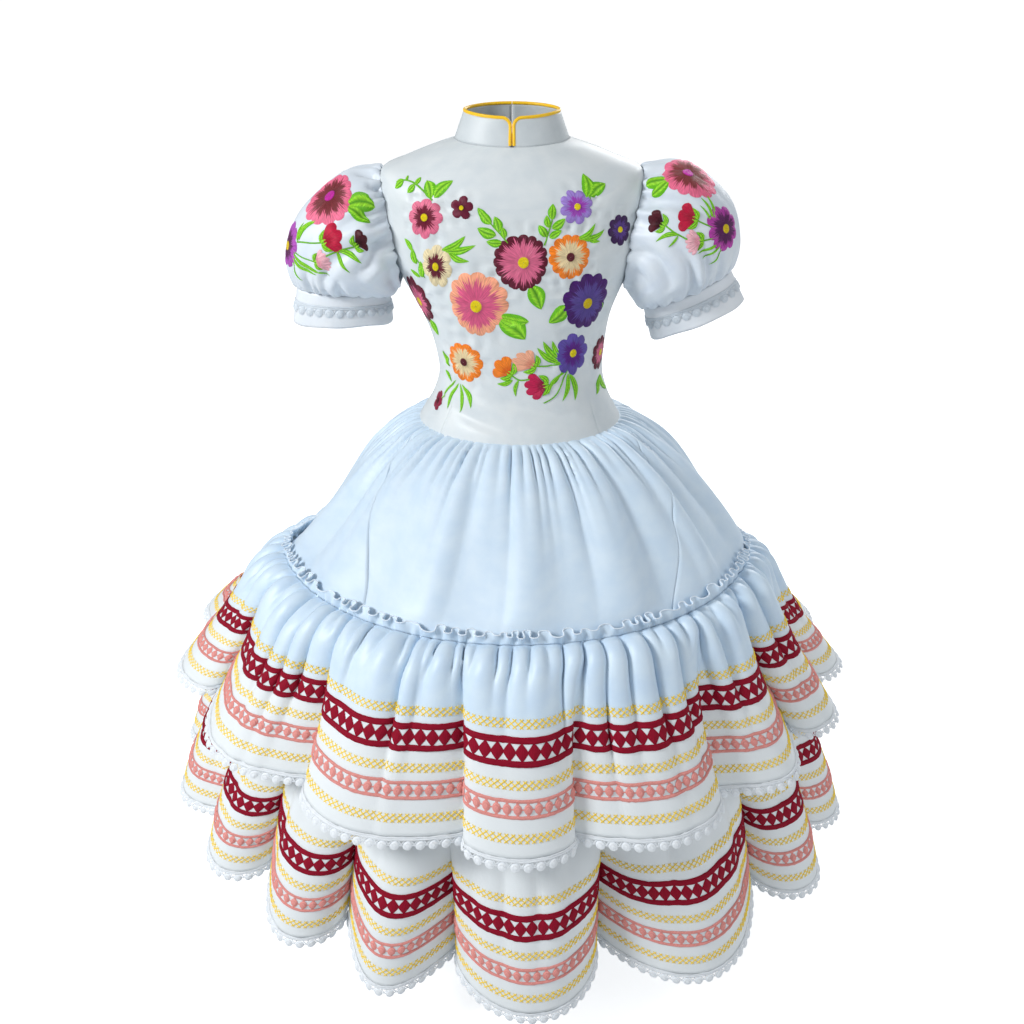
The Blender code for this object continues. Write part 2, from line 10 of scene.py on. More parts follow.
import bpy
import numpy as np
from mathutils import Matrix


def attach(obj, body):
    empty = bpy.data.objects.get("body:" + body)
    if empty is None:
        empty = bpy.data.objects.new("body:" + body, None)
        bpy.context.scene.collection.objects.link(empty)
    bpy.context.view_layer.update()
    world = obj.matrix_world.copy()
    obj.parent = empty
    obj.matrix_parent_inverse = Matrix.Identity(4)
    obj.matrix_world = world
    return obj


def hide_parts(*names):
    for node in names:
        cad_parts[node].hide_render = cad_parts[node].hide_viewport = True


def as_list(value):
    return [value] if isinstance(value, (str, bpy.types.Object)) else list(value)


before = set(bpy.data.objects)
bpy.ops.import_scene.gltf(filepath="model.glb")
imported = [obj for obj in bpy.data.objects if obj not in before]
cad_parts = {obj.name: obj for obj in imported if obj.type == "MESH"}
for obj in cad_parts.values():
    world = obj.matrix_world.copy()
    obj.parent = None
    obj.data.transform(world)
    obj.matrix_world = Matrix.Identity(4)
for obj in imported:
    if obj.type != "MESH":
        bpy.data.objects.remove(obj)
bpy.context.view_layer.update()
print("the packed model has", len(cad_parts), "nodes")

# %% [markdown]
# ## From a grid of points to a mesh
# A pattern cutter thinks of cloth as a flat sheet with a grain. Here a sheet is a grid of points,
# rows from top to bottom and columns round the body, and each cell becomes one four-sided face. A
# subdivided plane could be bent instead, point by point, but a grid that is worked out first goes
# into the mesh in one call. The UV map holds real lengths in metres, so a weave or a row of
# stitches keeps its true size.

# %% Lengths and directions
def lengths(points, axis):
    """Mean distance covered so far along one direction of a grid of points."""
    step = np.linalg.norm(np.diff(points, axis=axis), axis=2).mean(axis=1 - axis)
    return np.concatenate([[0.0], np.cumsum(step)])


def unit(vectors):
    """The same directions, one unit long."""
    return vectors / np.linalg.norm(vectors, axis=-1, keepdims=True)

# %% Grid to mesh
def new_piece(name, points, faces, corner_uv):
    """An object made of points and faces, with one UV pair for each corner of each face."""
    mesh = bpy.data.meshes.new(name)
    mesh.from_pydata(points.reshape(-1, 3).tolist(), [], faces.tolist())
    mesh.uv_layers.new(name="cloth").data.foreach_set("uv", corner_uv.ravel())
    mesh.shade_smooth()
    made = bpy.data.objects.new(name, mesh)
    bpy.context.scene.collection.objects.link(made)
    return made


def cell_corners(index):
    """The four corners of every cell of a grid, going down first, so that faces look outwards."""
    return np.stack([index[:-1, :-1], index[1:, :-1], index[1:, 1:], index[:-1, 1:]], -1)


def sheet_of(name, points, closed=False):
    """A sheet from a grid. A closed one joins its last column to its first."""
    rows, columns = points.shape[:2]
    index = np.arange(rows * columns).reshape(rows, columns)
    if closed:
        index = np.hstack([index, index[:, :1]])
    wide = points.reshape(-1, 3)[index]
    uv = np.stack(np.meshgrid(lengths(wide, 1), lengths(wide, 0)), -1)
    corners = cell_corners(np.arange(index.size).reshape(index.shape)).reshape(-1, 4)
    return new_piece(name, points, cell_corners(index).reshape(-1, 4),
                     uv.reshape(-1, 2)[corners])

# %% What every finished piece is given
def finished(piece, material, slot, *nodes):
    """The piece rides on the dress, wears a material, and stands for the nodes that it replaces."""
    piece.data.materials.append(material)
    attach(piece, "root")
    if nodes:
        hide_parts(*nodes)
    mesh = piece.evaluated_get(bpy.context.evaluated_depsgraph_get()).to_mesh()
    mesh.calc_loop_triangles()
    print(piece.name, "has", len(mesh.loop_triangles), "triangles")


def cloth_piece(name, points, thickness, material, slot, replaced, closed=False):
    """A sheet with its thickness on its inner side, so that the outer face stays where it was
    put."""
    piece = sheet_of(name, points, closed)
    modifier = piece.modifiers.new("thickness", "SOLIDIFY")
    modifier.thickness, modifier.offset = thickness, -1.0
    finished(piece, material, slot, replaced)

# %% [markdown]
# ## Finishes
# Satin shines because its warp threads float over many others. Close up it is a field of fine
# lengthwise threads, from a step away a soft sheen with faint slubs. A picture of cloth would
# repeat and blur, so the threads are noise that is stretched along them. Three effects are used
# by several materials, so each is a node group: the woven face of satin, the lie of thick
# threads, and a dashed row of machine stitches. Groups put out colours, masks and normals only.

# %% Node helpers
def fill(made, inputs):
    """Gives inputs of a node, by name or by place, a value or a link from a socket."""
    for key, value in inputs.items():
        if isinstance(value, bpy.types.NodeSocket):
            made.id_data.links.new(value, made.inputs[key])
        else:
            made.inputs[key].default_value = value


def node(tree, kind, inputs=None, **settings):
    """Adds a node of a kind, with its settings and its inputs."""
    made = tree.nodes.new("ShaderNode" + kind)
    for key, value in settings.items():
        setattr(made, key, value)
    fill(made, inputs or {})
    return made


def maths(operation, *values):
    """One step of arithmetic, on values or sockets, in the tree of its first socket."""
    tree = next(value for value in values if isinstance(value, bpy.types.NodeSocket)).id_data
    return node(tree, "Math", dict(enumerate(values)), operation=operation).outputs[0]


def mixed(share, first, second):
    """A colour between two colours. The share of the second is a socket. A Mix node has several
    sockets of one name, so its colours go by number."""
    return node(share.id_data, "Mix", {0: share, 6: first, 7: second},
                data_type="RGBA").outputs[2]


def linear(code):
    """A colour as shaders need it, from the six digits of a screen colour."""
    value = np.array([int(code[i:i + 2], 16) for i in (0, 2, 4)]) / 255.0
    value = np.where(value < 0.04, value / 12.92, ((value + 0.055) / 1.055) ** 2.4)
    return (*value.tolist(), 1.0)

# %% Node group helpers
def new_group(name, inputs):
    """An empty node group, and the sockets that it is given: a type and a first value by name."""
    group = bpy.data.node_groups.new(name, "ShaderNodeTree")
    for key, (kind, value) in inputs.items():
        socket = group.interface.new_socket(key, in_out="INPUT", socket_type="NodeSocket" + kind)
        socket.default_value = value
    return group, group.nodes.new("NodeGroupInput").outputs


def give_out(group, **results):
    """Adds a group's outputs: by name, a type and the socket that feeds it."""
    for key, (kind, _) in results.items():
        group.interface.new_socket(key, in_out="OUTPUT", socket_type="NodeSocket" + kind)
    fill(group.nodes.new("NodeGroupOutput"), {key: source for key, (_, source) in results.items()})
    print("the group", group.name, "has", len(group.nodes), "nodes")

# %% Node group: the woven face of satin
WARP_AND_WEFT, SLUBS = (1900.0, 260.0, 1.0), 42.0      # cells of noise a metre
satin_face, given = new_group("satin_face", {
    "Lengths": ("Vector", (0, 0, 0)), "Cloth": ("Color", (1, 1, 1, 1)),
    "Slub": ("Color", (1, 1, 1, 1)), "Relief": ("Float", 0.2)})
grain = node(satin_face, "Mapping", {"Vector": given["Lengths"], "Scale": WARP_AND_WEFT})
threads = node(satin_face, "TexNoise", {"Vector": grain.outputs[0], "Detail": 1.0}).outputs[0]
slubs = node(satin_face, "TexNoise", {"Vector": given["Lengths"], "Scale": SLUBS, "Detail": 3.0})
tone = maths("ADD", maths("MULTIPLY", threads, 0.35), maths("MULTIPLY", slubs.outputs[0], 0.65))
tint = node(satin_face, "MapRange", {"Value": tone, "From Min": 0.38, "From Max": 0.62})
lie = node(satin_face, "Bump", {"Height": threads, "Distance": 0.00018,
                                "Strength": given["Relief"]})
give_out(satin_face, Colour=("Color", mixed(tint.outputs[0], given["Cloth"], given["Slub"])),
         Roughness=("Float", maths("ADD", 0.36, maths("MULTIPLY", tone, 0.14))),
         Normal=("Vector", lie.outputs[0]))

# %% Node group: the lie of thick threads
thread_lie, given = new_group("thread_lie", {
    "Lengths": ("Vector", (0, 0, 0)), "Pitch": ("Float", 0.0007), "Relief": ("Float", 0.6)})
split = node(thread_lie, "SeparateXYZ", {0: given["Lengths"]})
counted = maths("DIVIDE", split.outputs[0], given["Pitch"])
stretched = node(thread_lie, "CombineXYZ", {
    0: counted, 1: maths("DIVIDE", split.outputs[1], maths("MULTIPLY", given["Pitch"], 9.0))})
strands = node(thread_lie, "TexNoise", {"Vector": stretched.outputs[0], "Scale": 0.9,
                                        "Detail": 1.5}).outputs[0]
ridge = maths("SINE", maths("MULTIPLY", counted, 2 * np.pi))
lie = node(thread_lie, "Bump", {"Height": maths("ADD", strands, maths("MULTIPLY", ridge, 0.2)),
                                "Distance": 0.0005, "Strength": given["Relief"]})
give_out(thread_lie, Streak=("Float", strands), Normal=("Vector", lie.outputs[0]))

# %% Node group: a dashed row of machine stitches
stitch_row, given = new_group("stitch_row", {
    "Lengths": ("Vector", (0, 0, 0)), "Place": ("Float", 0.0), "Width": ("Float", 0.0009),
    "Stitch": ("Float", 0.0028)})
split = node(stitch_row, "SeparateXYZ", {0: given["Lengths"]})
away = maths("ABSOLUTE", maths("SUBTRACT", split.outputs[1], given["Place"]))
near = maths("LESS_THAN", away, maths("MULTIPLY", given["Width"], 0.5))
dash = maths("LESS_THAN", maths("FRACT", maths("DIVIDE", split.outputs[0], given["Stitch"])), 0.72)
groove = node(stitch_row, "MapRange", {"Value": away, "From Max": given["Width"],
                                      "To Min": 1.0, "To Max": 0.0},
              interpolation_type="SMOOTHSTEP")
give_out(stitch_row, Mask=("Float", maths("MULTIPLY", near, dash)),
         Groove=("Float", groove.outputs[0]))

# %% [markdown]
# ## One material for each cloth and thread
# The skirt, sleeves and ruffles are pale blue satins, and the bodice, collar and cuffs are
# ice-white ones. The collar's satin is the bodice's made darker, as painted shade, and the cuffs'
# is made lighter, as painted light. The upper ruffle below its first row of stitches and the
# whole lower one are backed with a stiffer white cloth. White strips could be cut and joined on,
# but a colour that turns with the distance down the cloth follows every fold.

# %% A material that knows the lengths of its cloth


def new_material(name):
    """A material, its node tree, and the socket with the lengths that its UV map holds."""
    material = bpy.data.materials.new(name)
    material.use_nodes = True
    tree = material.node_tree
    return material, tree, node(tree, "UVMap", uv_map="cloth").outputs[0]

# %% Satin
BACKED_WHITE, STITCH_SHADE = "E2E8EB", "AFC0D2"
BACKING_STARTS, BACKING_WHOLE = -0.014, 0.012      # metres from the row that holds the backing


def satin(name, cloth, slub, rows=(), backed=None):
    """A satin material. rows are stitch lines, in metres down the cloth, and backed is the
    distance down the cloth where it turns whiter."""
    material, tree, on_cloth = new_material(name)
    colours = {"Cloth": linear(cloth), "Slub": linear(slub)}
    if backed is not None:
        down = node(tree, "SeparateXYZ", {0: on_cloth}).outputs[1]
        turn = node(tree, "MapRange", {"Value": down, "From Min": backed + BACKING_STARTS,
                                       "From Max": backed + BACKING_WHOLE},
                    interpolation_type="SMOOTHSTEP")
        colours = {word: mixed(turn.outputs[0], colour, linear(BACKED_WHITE))
                   for word, colour in colours.items()}
    face = node(tree, "Group", {"Lengths": on_cloth, "Relief": 0.25}, node_tree=satin_face)
    fill(face, colours)
    colour, normal = face.outputs["Colour"], face.outputs["Normal"]
    for place in rows:
        row = node(tree, "Group", {"Lengths": on_cloth, "Place": place}, node_tree=stitch_row)
        colour = mixed(maths("MULTIPLY", row.outputs["Mask"], 0.35), colour, linear(STITCH_SHADE))
        normal = node(tree, "Bump", {"Height": row.outputs["Groove"], "Distance": 0.0006,
                                     "Strength": 0.7, "Normal": normal}, invert=True).outputs[0]
    fill(tree.nodes["Principled BSDF"], {
        "Base Color": colour, "Roughness": face.outputs["Roughness"], "Normal": normal,
        "Sheen Weight": 0.10, "Sheen Roughness": 0.4, "Specular IOR Level": 0.5,
        "Anisotropic": 0.35})
    return material

# %% The satins of the skirt, bodice, sleeves, collar and cuffs
skirt_satin = satin("skirt_satin", "C9DDEF", "D3E4F2")
bodice_satin = satin("bodice_satin", "CFD7DB", "D9DFE1")
sleeve_satin = satin("sleeve_satin", "D3DDE8", "DDE5EC")
# The collar is the bodice's cloth made darker: painted shade, where it faces away from the light.
collar_satin_painted_shade = satin("collar_satin_painted_shade", "C2CACE", "CCD3D6")
# The cuffs are ice-white cloth made lighter: painted light, for undersides that get little light.
cuff_satin_painted_light = satin("cuff_satin_painted_light", "DCE3EA", "E4E9EE")
print("satins are ready")

# %% Threads, cords and braids
def thread(name, colour, light, pitch, relief, roughness, shine=0.5):
    """A material of parallel threads, lighter along some of them. The threads run down the UV."""
    material, tree, on_cloth = new_material(name)
    lie = node(tree, "Group", {"Lengths": on_cloth, "Pitch": pitch, "Relief": relief},
               node_tree=thread_lie)
    fill(tree.nodes["Principled BSDF"], {
        "Base Color": mixed(lie.outputs["Streak"], linear(colour), linear(light)),
        "Normal": lie.outputs["Normal"], "Roughness": roughness, "Specular IOR Level": shine})
    return material


red_braid = thread("red_braid", "76001A", "A0022C", 0.0011, 0.8, 0.75, 0.2)
pink_braid = thread("pink_braid", "D07C78", "F2A8A0", 0.0010, 0.9, 0.7, 0.25)
yellow_thread = thread("yellow_thread", "F6C81E", "FFE862", 0.0006, 0.4, 0.5, 0.3)
yellow_cord = thread("yellow_cord", "F2B400", "FFD830", 0.0009, 0.4, 0.4, 0.4)
lace_thread = thread("lace_thread", "DCE5EE", "F8FBFD", 0.0008, 0.9, 0.55)
# The cuffs' lace is the hems' lace with its thread made darker: painted shade.
cuff_lace_thread_painted_shade = thread("cuff_lace_thread_painted_shade", "BAC7D3", "E6EDF3", 0.0008, 0.9, 0.55)
overlock_thread = thread("overlock_thread", "D2E4F5", "F2F8FD", 0.0009, 0.6, 0.5)
zip_tape = thread("zip_tape", "D5DFE9", "EFF4F8", 0.0007, 0.5, 0.6)
print("threads are ready")

# %% Embroidery thread
# A long-and-short stitch blends two threads with a ragged border. How far the inner thread
# reaches is stored on each point, and the border is shifted at random from thread to thread.
RAGGED, RAGGED_CELLS = 0.95, 900.0      # share of the petal, and cells of noise a metre
embroidery_thread, tree, on_cloth = new_material("embroidery_thread")
lie = node(tree, "Group", {"Lengths": on_cloth, "Pitch": 0.0008, "Relief": 0.75},
           node_tree=thread_lie)
outer, inner, way = (node(tree, "Attribute", attribute_name=word)
                     for word in ("outer_thread", "inner_thread", "stitch_way"))
way = node(tree, "SeparateXYZ", {0: way.outputs["Vector"]}).outputs
ragged = node(tree, "TexNoise", {"Vector": node(tree, "CombineXYZ", {0: way[0]}).outputs[0],
                                 "Scale": RAGGED_CELLS, "Detail": 1.0}).outputs[0]
border = maths("ADD", way[1], maths("MULTIPLY", maths("SUBTRACT", ragged, 0.5), RAGGED))
inside = node(tree, "MapRange", {"Value": maths("SUBTRACT", border, way[2]), "From Min": -0.03,
                                 "From Max": 0.03, "To Min": 1.0, "To Max": 0.0})
two_threads = mixed(inside.outputs[0], outer.outputs["Color"], inner.outputs["Color"])
streak = node(tree, "MapRange", {"Value": lie.outputs["Streak"], "From Min": 0.3,
                                 "From Max": 0.7, "To Min": 0.72, "To Max": 1.18})
shaded = node(tree, "VectorMath", {0: two_threads, 1: streak.outputs[0]}, operation="MULTIPLY")
fill(tree.nodes["Principled BSDF"], {
    "Base Color": shaded.outputs[0], "Normal": lie.outputs["Normal"], "Roughness": 0.42,
    "Specular IOR Level": 0.3})
print("embroidery thread is ready")

# %% [markdown]
# ## The forms
# The tables below are the cutter's measurements: one row for each section round the body, from
# the neck down. Smooth curves run through the rows. The dress could be sculpted by hand, but a
# number in a table can be measured, and changed without touching the rest. The cloth pieces, the
# seams, the trims and the embroidery all ask the same functions where the cloth is.

# %% Curves through a table
MM = 0.001      # most tables hold millimetres


def through_rows(row, count, level):
    """A Catmull-Rom curve through some rows: it passes a row along the line between its
    neighbours. row gives the values of a row by its number, which may differ from point to
    point."""
    level = np.clip(np.asarray(level, float), 0, count - 1)
    first = np.minimum(level.astype(int), count - 2)
    t = (level - first)[..., None]
    p0, p1, p2, p3 = (row(np.clip(first + step, 0, count - 1)) for step in (-1, 0, 1, 2))
    return 0.5 * (2 * p1 + (p2 - p0) * t + (2 * p0 - 5 * p1 + 4 * p2 - p3) * t ** 2
                  + (3 * p1 - p0 - 3 * p2 + p3) * t ** 3)


def between_rows(table, level):
    """Values between the rows of a table."""
    return through_rows(table.__getitem__, len(table), level)


def smooth(value, start, end):
    """An S-curve from 0 at the start to 1 at the end."""
    share = np.clip((value - start) / (end - start), 0, 1)
    return share * share * (3 - 2 * share)


def sines(degrees):
    """The sine and the cosine."""
    return np.sin(np.radians(degrees)), np.cos(np.radians(degrees))

# %% A point round the body, and the way out of the cloth
BACK_SINK, SINK_ANGLES = 0.045, (65.0, 120.0)      # metres, degrees from the front
SINK_GROWS, SINK_FADES = (-0.33, -0.44), (-0.50, -0.63)      # heights


def round_body(angle, z_front, z_side, front, side, back, shift, out):
    """A point at an angle from the front, on an ellipse that stands out by a distance. Its
    height blends from the side's to the front's by the squared cosine, and round the gather
    line it sinks towards the back on an S-curve."""
    sine, cosine = sines(angle)
    depth = np.where(cosine > 0, front, back) + out
    z = z_side + (z_front - z_side) * cosine ** 2
    from_front = np.degrees(np.arccos(np.clip(cosine, -1, 1)))
    sink = (BACK_SINK * smooth(from_front, *SINK_ANGLES)
            * smooth(z, *SINK_GROWS) * (1 - smooth(z, *SINK_FADES)))
    return np.stack([shift + (side + out) * sine, -depth * cosine, z - sink], axis=-1)


def outward(shape, across, down):
    """The direction out of the cloth: its way down crossed with its way across."""
    e = 0.01
    normal = np.cross(shape(across, down + e) - shape(across, down - e),
                      shape(across + e, down) - shape(across - e, down))
    return normal / np.maximum(np.linalg.norm(normal, axis=-1, keepdims=True), 1e-12)

# %% Creases
def creased(across, down, creases):
    """Soft troughs and ridges. Each runs between two points of the cloth, is a bell curve
    across, and swells and fades as half a sine wave along."""
    height = np.zeros(np.broadcast(across, down).shape)
    for x0, y0, x1, y1, width, tall in np.array(creases) * MM:
        length = np.hypot(x1 - x0, y1 - y0)
        along = ((across - x0) * (x1 - x0) + (down - y0) * (y1 - y0)) / length ** 2
        away = ((across - x0) * (y1 - y0) - (down - y0) * (x1 - x0)) / length
        fade = np.sin(np.pi * np.clip(along, 0, 1)) ** 0.7
        height = height + tall * fade * np.exp(-(away / width) ** 2)
    return height

# %% Gathers
def lobes(place, roundness):
    """Full rounded folds with narrow valleys between: 0 in a valley, 1 on a crest."""
    return np.abs(np.sin(np.pi * place)) ** roundness


def uneven(count, spread, seed, low=0.4):
    """Angles of the valleys between gathers, unevenly spaced round the body, and how deep each
    gather is. The last valley is the first one again, a full turn on."""
    chance = np.random.default_rng(seed)
    width = 1 + spread * (chance.random(count) - 0.5)
    valley = np.concatenate([[0.0], np.cumsum(width)]) * 360.0 / width.sum() - 180.0
    depth = low + (1 - low) * chance.random(count)
    return valley, np.append(depth, depth[0])


def crowded(angle, valley, depth):
    """Degrees that the cloth beside a valley moves towards it, so that crests spread and
    valleys close: a sine once a gather, as large as a gather is wide, less in shallow ones."""
    turned = (angle + 180.0) % 360.0 - 180.0
    place = np.interp(turned, valley, np.arange(len(valley)))
    wide = 360.0 / (len(valley) - 1)
    return (-wide / (2 * np.pi) * np.sin(2 * np.pi * place)
            * np.interp(place, np.arange(len(depth)), depth))


def gathered(angle, valley, depth, roundness=0.75):
    """Height of uneven gathers at an angle: 0 in the deepest valleys, 1 on the crests."""
    turned = (angle + 180.0) % 360.0 - 180.0
    place = np.interp(turned, valley, np.arange(len(valley)))
    return 1 - (1 - lobes(place, roundness)) * np.interp(place, np.arange(len(depth)), depth)

# %% [markdown]
# ## Bodice
# The bodice is cut close: a front with a dart at each side above the dropped waist, and two backs
# that meet at a hidden zip. Its form is a stack of rounded sections, squarer at the chest and
# round at the waist. Machine embroidery draws the satin up round each flower, so the cloth gets
# shallow puckers there, and a few soft creases where the waist bends. They are in the mesh and
# not in the material, because satin shows every change of slope in its shine.

# %% Bodice measurements
CLOTH, SEAM, LAP = 0.0016, 0.0003, 0.0005      # wall, gap at a seam, gap under a gathered edge
BODICE = np.array([
    # z_front, z_side, z_back, half_width, front, back, shift in millimetres, squareness
    (-4.5, -1, 1, 60.5, 50, 48, 0, 0.95),      # neck seam
    (-15, -7, -10, 80, 60, 59, 0, 0.92),
    (-34, -18, -28, 109, 72, 71, 0, 0.88),
    (-60, -33, -50, 139, 81, 80, 0, 0.86),      # shoulder tip
    (-86, -68, -78, 144, 86, 84, 0, 0.86),
    (-118, -112, -114, 138, 89, 85, 1, 0.86),
    (-152, -152, -152, 119, 88, 83, 3, 0.86),      # underarm
    (-183, -183, -183, 105, 85, 80, 5, 0.86),
    (-215, -215, -215, 96.5, 81.5, 76, 8, 0.88),
    (-252, -252, -252, 92.5, 80, 75, 10, 0.9),      # narrowest waist
    (-280, -280, -280, 99.5, 86, 82, 10, 0.94),
    (-300, -300, -300, 110, 95, 92, 9, 0.98),
    (-312, -312, -312, 117, 100, 98, 9, 1),      # dropped waist
]) * (*[MM] * 7, 1)
ARM_MIDDLE, ARM_HALF, ARM_REACH = 4.5, 1.5, 28.0      # armhole: level, levels and degrees
DART_ANGLE, DART_TOP = 50.0, 9.6      # degrees from the front, level of its point
A_DEGREE = 0.0017      # metres round the bodice
BODICE_CREASES = [
    # where each starts and ends, as millimetres round and down, then its width and height
    (-95, 276, 12, 304, 6.5, -2.6), (-85, 262, 20, 290, 6, 1.8), (-35, 262, 60, 288, 6, -2),
    (-115, 250, -60, 268, 5, -1.8), (55, 240, 130, 268, 6, -1.8), (20, 232, 90, 250, 5, 1),
    (-100, 52, -70, 130, 8, -1.6), (95, 48, 66, 118, 8, -1.6), (150, 235, 240, 262, 7, -1.8),
    (-250, 240, -170, 258, 7, -1.8), (180, 262, 290, 280, 7, 1.6), (-300, 60, -200, 100, 10, -1.4),
    (200, 50, 290, 95, 10, -1.4),
]
print(len(BODICE), "sections down the bodice,", len(BODICE_CREASES), "creases")

# %% Flowers of the bodice, which draw the cloth up round them
FLOWERS = [
    # degrees, level, radius, tall, petals, notch, reach, rim, inner, centre, turned
    (-35.0, 3.70, 0.0190, 1.05, 8, 0.18, 0.58, "E0708F", "6E0E2C", "F8E000", 10),
    (-18.0, 3.10, 0.0120, 1.00, 5, 0.36, 0.30, "6A1030", "58081E", "F8E000", 18),
    (24.5, 3.15, 0.0175, 1.00, 8, 0.24, 0.55, "9C7FCE", "A040B8", "F8E000", 8),
    (3.0, 4.85, 0.0285, 1.03, 16, 0.10, 0.72, "5E0C28", "DE6A8E", "F8E000", 0),
    (21.5, 4.75, 0.0220, 1.08, 12, 0.12, 0.66, "F58220", "EAD3A4", "5E0A20", 6),
    (-32.5, 5.10, 0.0175, 1.32, 7, 0.20, 0.55, "E6D6AC", "641228", "F8E000", -12),
    (-17.5, 6.25, 0.0305, 1.12, 13, 0.09, 0.72, "F4A684", "DE5C86", "F8E000", 0),
    (38.0, 6.25, 0.0275, 1.10, 12, 0.11, 0.66, "430F66", "584494", "E8C800", 12),
    (-37.0, 8.30, 0.0220, 1.10, 10, 0.14, 0.66, "F58220", "EAD3A4", "5E0A20", 0),
    (33.5, 8.00, 0.0205, 1.16, 8, 0.20, 0.55, "5B48A0", "5A1486", "F8E000", 6),
    (-63.0, 6.40, 0.0190, 1.45, 9, 0.16, 0.62, "5E0C28", "D8648A", "F8E000", 0),
    (66.0, 8.25, 0.0165, 1.25, 9, 0.16, 0.58, "5E0C28", "D8648A", "F8E000", 0),
    (48.5, 4.25, 0.0150, 1.10, 8, 0.20, 0.55, "38104E", "5A3A8A", "F8E000", 0),
    (-67.0, 10.05, 0.0085, 1.40, 5, 0.25, 0.40, "8A1238", "5E0A20", "5E0A20", 0),
]
print(len(FLOWERS), "flowers on the bodice")

# %% The bodice as a function of angle and level
DART_DEPTH, PUCKER, RING = 0.0010, (0.0006, 0.0013), (1.22, 0.20)      # the ring is in radii


def rounded(value, squareness):
    """A sine or cosine raised to a power, with its sign kept."""
    return np.sign(value) * np.abs(value) ** squareness


def torso(angle, level):
    """A section is an ellipse whose sine and cosine are raised to a power: below 1 it is
    squarer. Heights blend round the section by the squared cosine."""
    z_front, z_side, z_back, width, front, back, shift, squareness = np.moveaxis(
        between_rows(BODICE, level), -1, 0)
    sine, cosine = sines(angle)
    return np.stack([
        shift + width * rounded(sine, squareness),
        -np.where(cosine > 0, front, back) * rounded(cosine, squareness),
        z_side + (np.where(cosine > 0, z_front, z_back) - z_side) * cosine ** 2], axis=-1)


def bodice_height(angle, level):
    """How far the cloth stands off its section: creases, a groove along each dart, and round
    each flower a ring of small puckers that fades with the distance from its rim."""
    angle, level = np.broadcast_arrays(np.asarray(angle, float), np.asarray(level, float))
    here = torso(angle, level)
    height = creased(angle * A_DEGREE, -here[..., 2], BODICE_CREASES)
    dart = np.exp(-((np.abs(angle) - DART_ANGLE) * 1.5) ** 2)
    height = height - DART_DEPTH * dart * np.clip((level - DART_TOP) / 0.5, 0, 1)
    for middle, row, radius, tall, petals, *_ in FLOWERS:
        centre = torso(np.array(middle), np.array(row))
        away = np.linalg.norm((here - centre) / (1, 1, tall), axis=-1) / radius
        around = np.arctan2(here[..., 2] - centre[2], here[..., 0] - centre[0])
        ring = np.exp(-((away - RING[0]) / RING[1]) ** 2)
        height = height - ring * (PUCKER[0] + PUCKER[1] * np.cos(petals * around + 9 * row))
    return height


def bodice(angle, level):
    """The bodice's outer face."""
    return torso(angle, level) + bodice_height(angle, level)[..., None] * outward(
        torso, angle, level)

# %% Bodice panels
def armhole_angle(level):
    """Degrees that the armhole reaches round at a level: half an ellipse down the side."""
    return ARM_REACH * np.sqrt(np.clip(1 - ((level - ARM_MIDDLE) / ARM_HALF) ** 2, 0, 1))


def parted(points):
    """The grid with its first and last columns drawn back by half a seam's gap."""
    points = points.copy()
    for end, inward in ((0, 1), (-1, -2)):
        points[:, end] += SEAM / 2 * unit(points[:, inward] - points[:, end])
    return points


arm_rows = ARM_MIDDLE - ARM_HALF * np.cos(np.linspace(0, np.pi, 46))
levels = np.concatenate([np.linspace(0, 3, 22)[:-1], arm_rows, np.linspace(6, 12, 52)[1:]])
levels = levels[:, None]
groove = np.array([-0.011, -0.007, -0.004, -0.002, 0, 0.002, 0.004, 0.007, 0.011])
front_share = np.unique(np.concatenate([
    np.linspace(-1, 1, 101), DART_ANGLE / 90 + groove, -DART_ANGLE / 90 + groove]))[None, :]
back_share = np.linspace(0, 1, 48)[None, :]
reach = armhole_angle(levels)
back_angles = 90 + reach + (90 - reach) * back_share
for name, angles in (("bodice_front", (90 - reach) * front_share),
                     ("bodice_back_left", back_angles),
                     ("bodice_back_right", -back_angles[:, ::-1])):
    cloth_piece(name + "_cloth", parted(bodice(angles, levels)), 0.0012, bodice_satin,
                "satin_white", name)

# %% [markdown]
# ## Collar
# A stand collar in two halves with rounded front corners. A bias strip of yellow satin is folded
# over a cord and sewn round each half's free edge. A bevelled curve would make a cord as well,
# but with a circle carried along a path the UV map holds real lengths here too. At each point the
# circle needs one direction along the path and two across it.

# %% The collar as a function of two lengths, and a cord along a path
COLLAR_HEIGHT, COLLAR_TOP = 0.0270, (0.0505, 0.0440, 0.0430)      # half width, front, back
COLLAR_CORNER, COLLAR_ARC, PIPING = 0.0080, 0.160, 0.0018      # the last is a radius


def collar(along, height, side, depth=0.0):
    """along the half from its front edge, up from the seam, and depth into the cloth. The
    collar tapers evenly from the neck seam's section to its top edge's."""
    angle, share, seam = 180.0 * along / COLLAR_ARC, height / COLLAR_HEIGHT, BODICE[0]
    width, front, back = (seam[3 + i] + (COLLAR_TOP[i] - seam[3 + i]) * share - depth
                          for i in range(3))
    sine, cosine = sines(angle)
    return np.stack([
        side * width * rounded(sine, seam[7]),
        -np.where(cosine > 0, front, back) * rounded(cosine, seam[7]),
        seam[1] + (np.where(cosine > 0, seam[0], seam[2]) - seam[1]) * cosine ** 2
        + SEAM + height], axis=-1)


CORD_SIDES = 8


def cord_along(name, path, facing, radius):
    """A circle carried along a path. facing is a direction roughly square to the path at each
    point, and the second direction across is square to both."""
    way = unit(np.gradient(path, axis=0))
    second = unit(np.cross(way, facing))
    first = np.cross(second, way)
    turn = np.linspace(0, 2 * np.pi, CORD_SIDES, endpoint=False)[:, None]
    ring = path[:, None] + radius * (np.cos(turn) * first[:, None] + np.sin(turn) * second[:, None])
    return sheet_of(name, ring, closed=True)

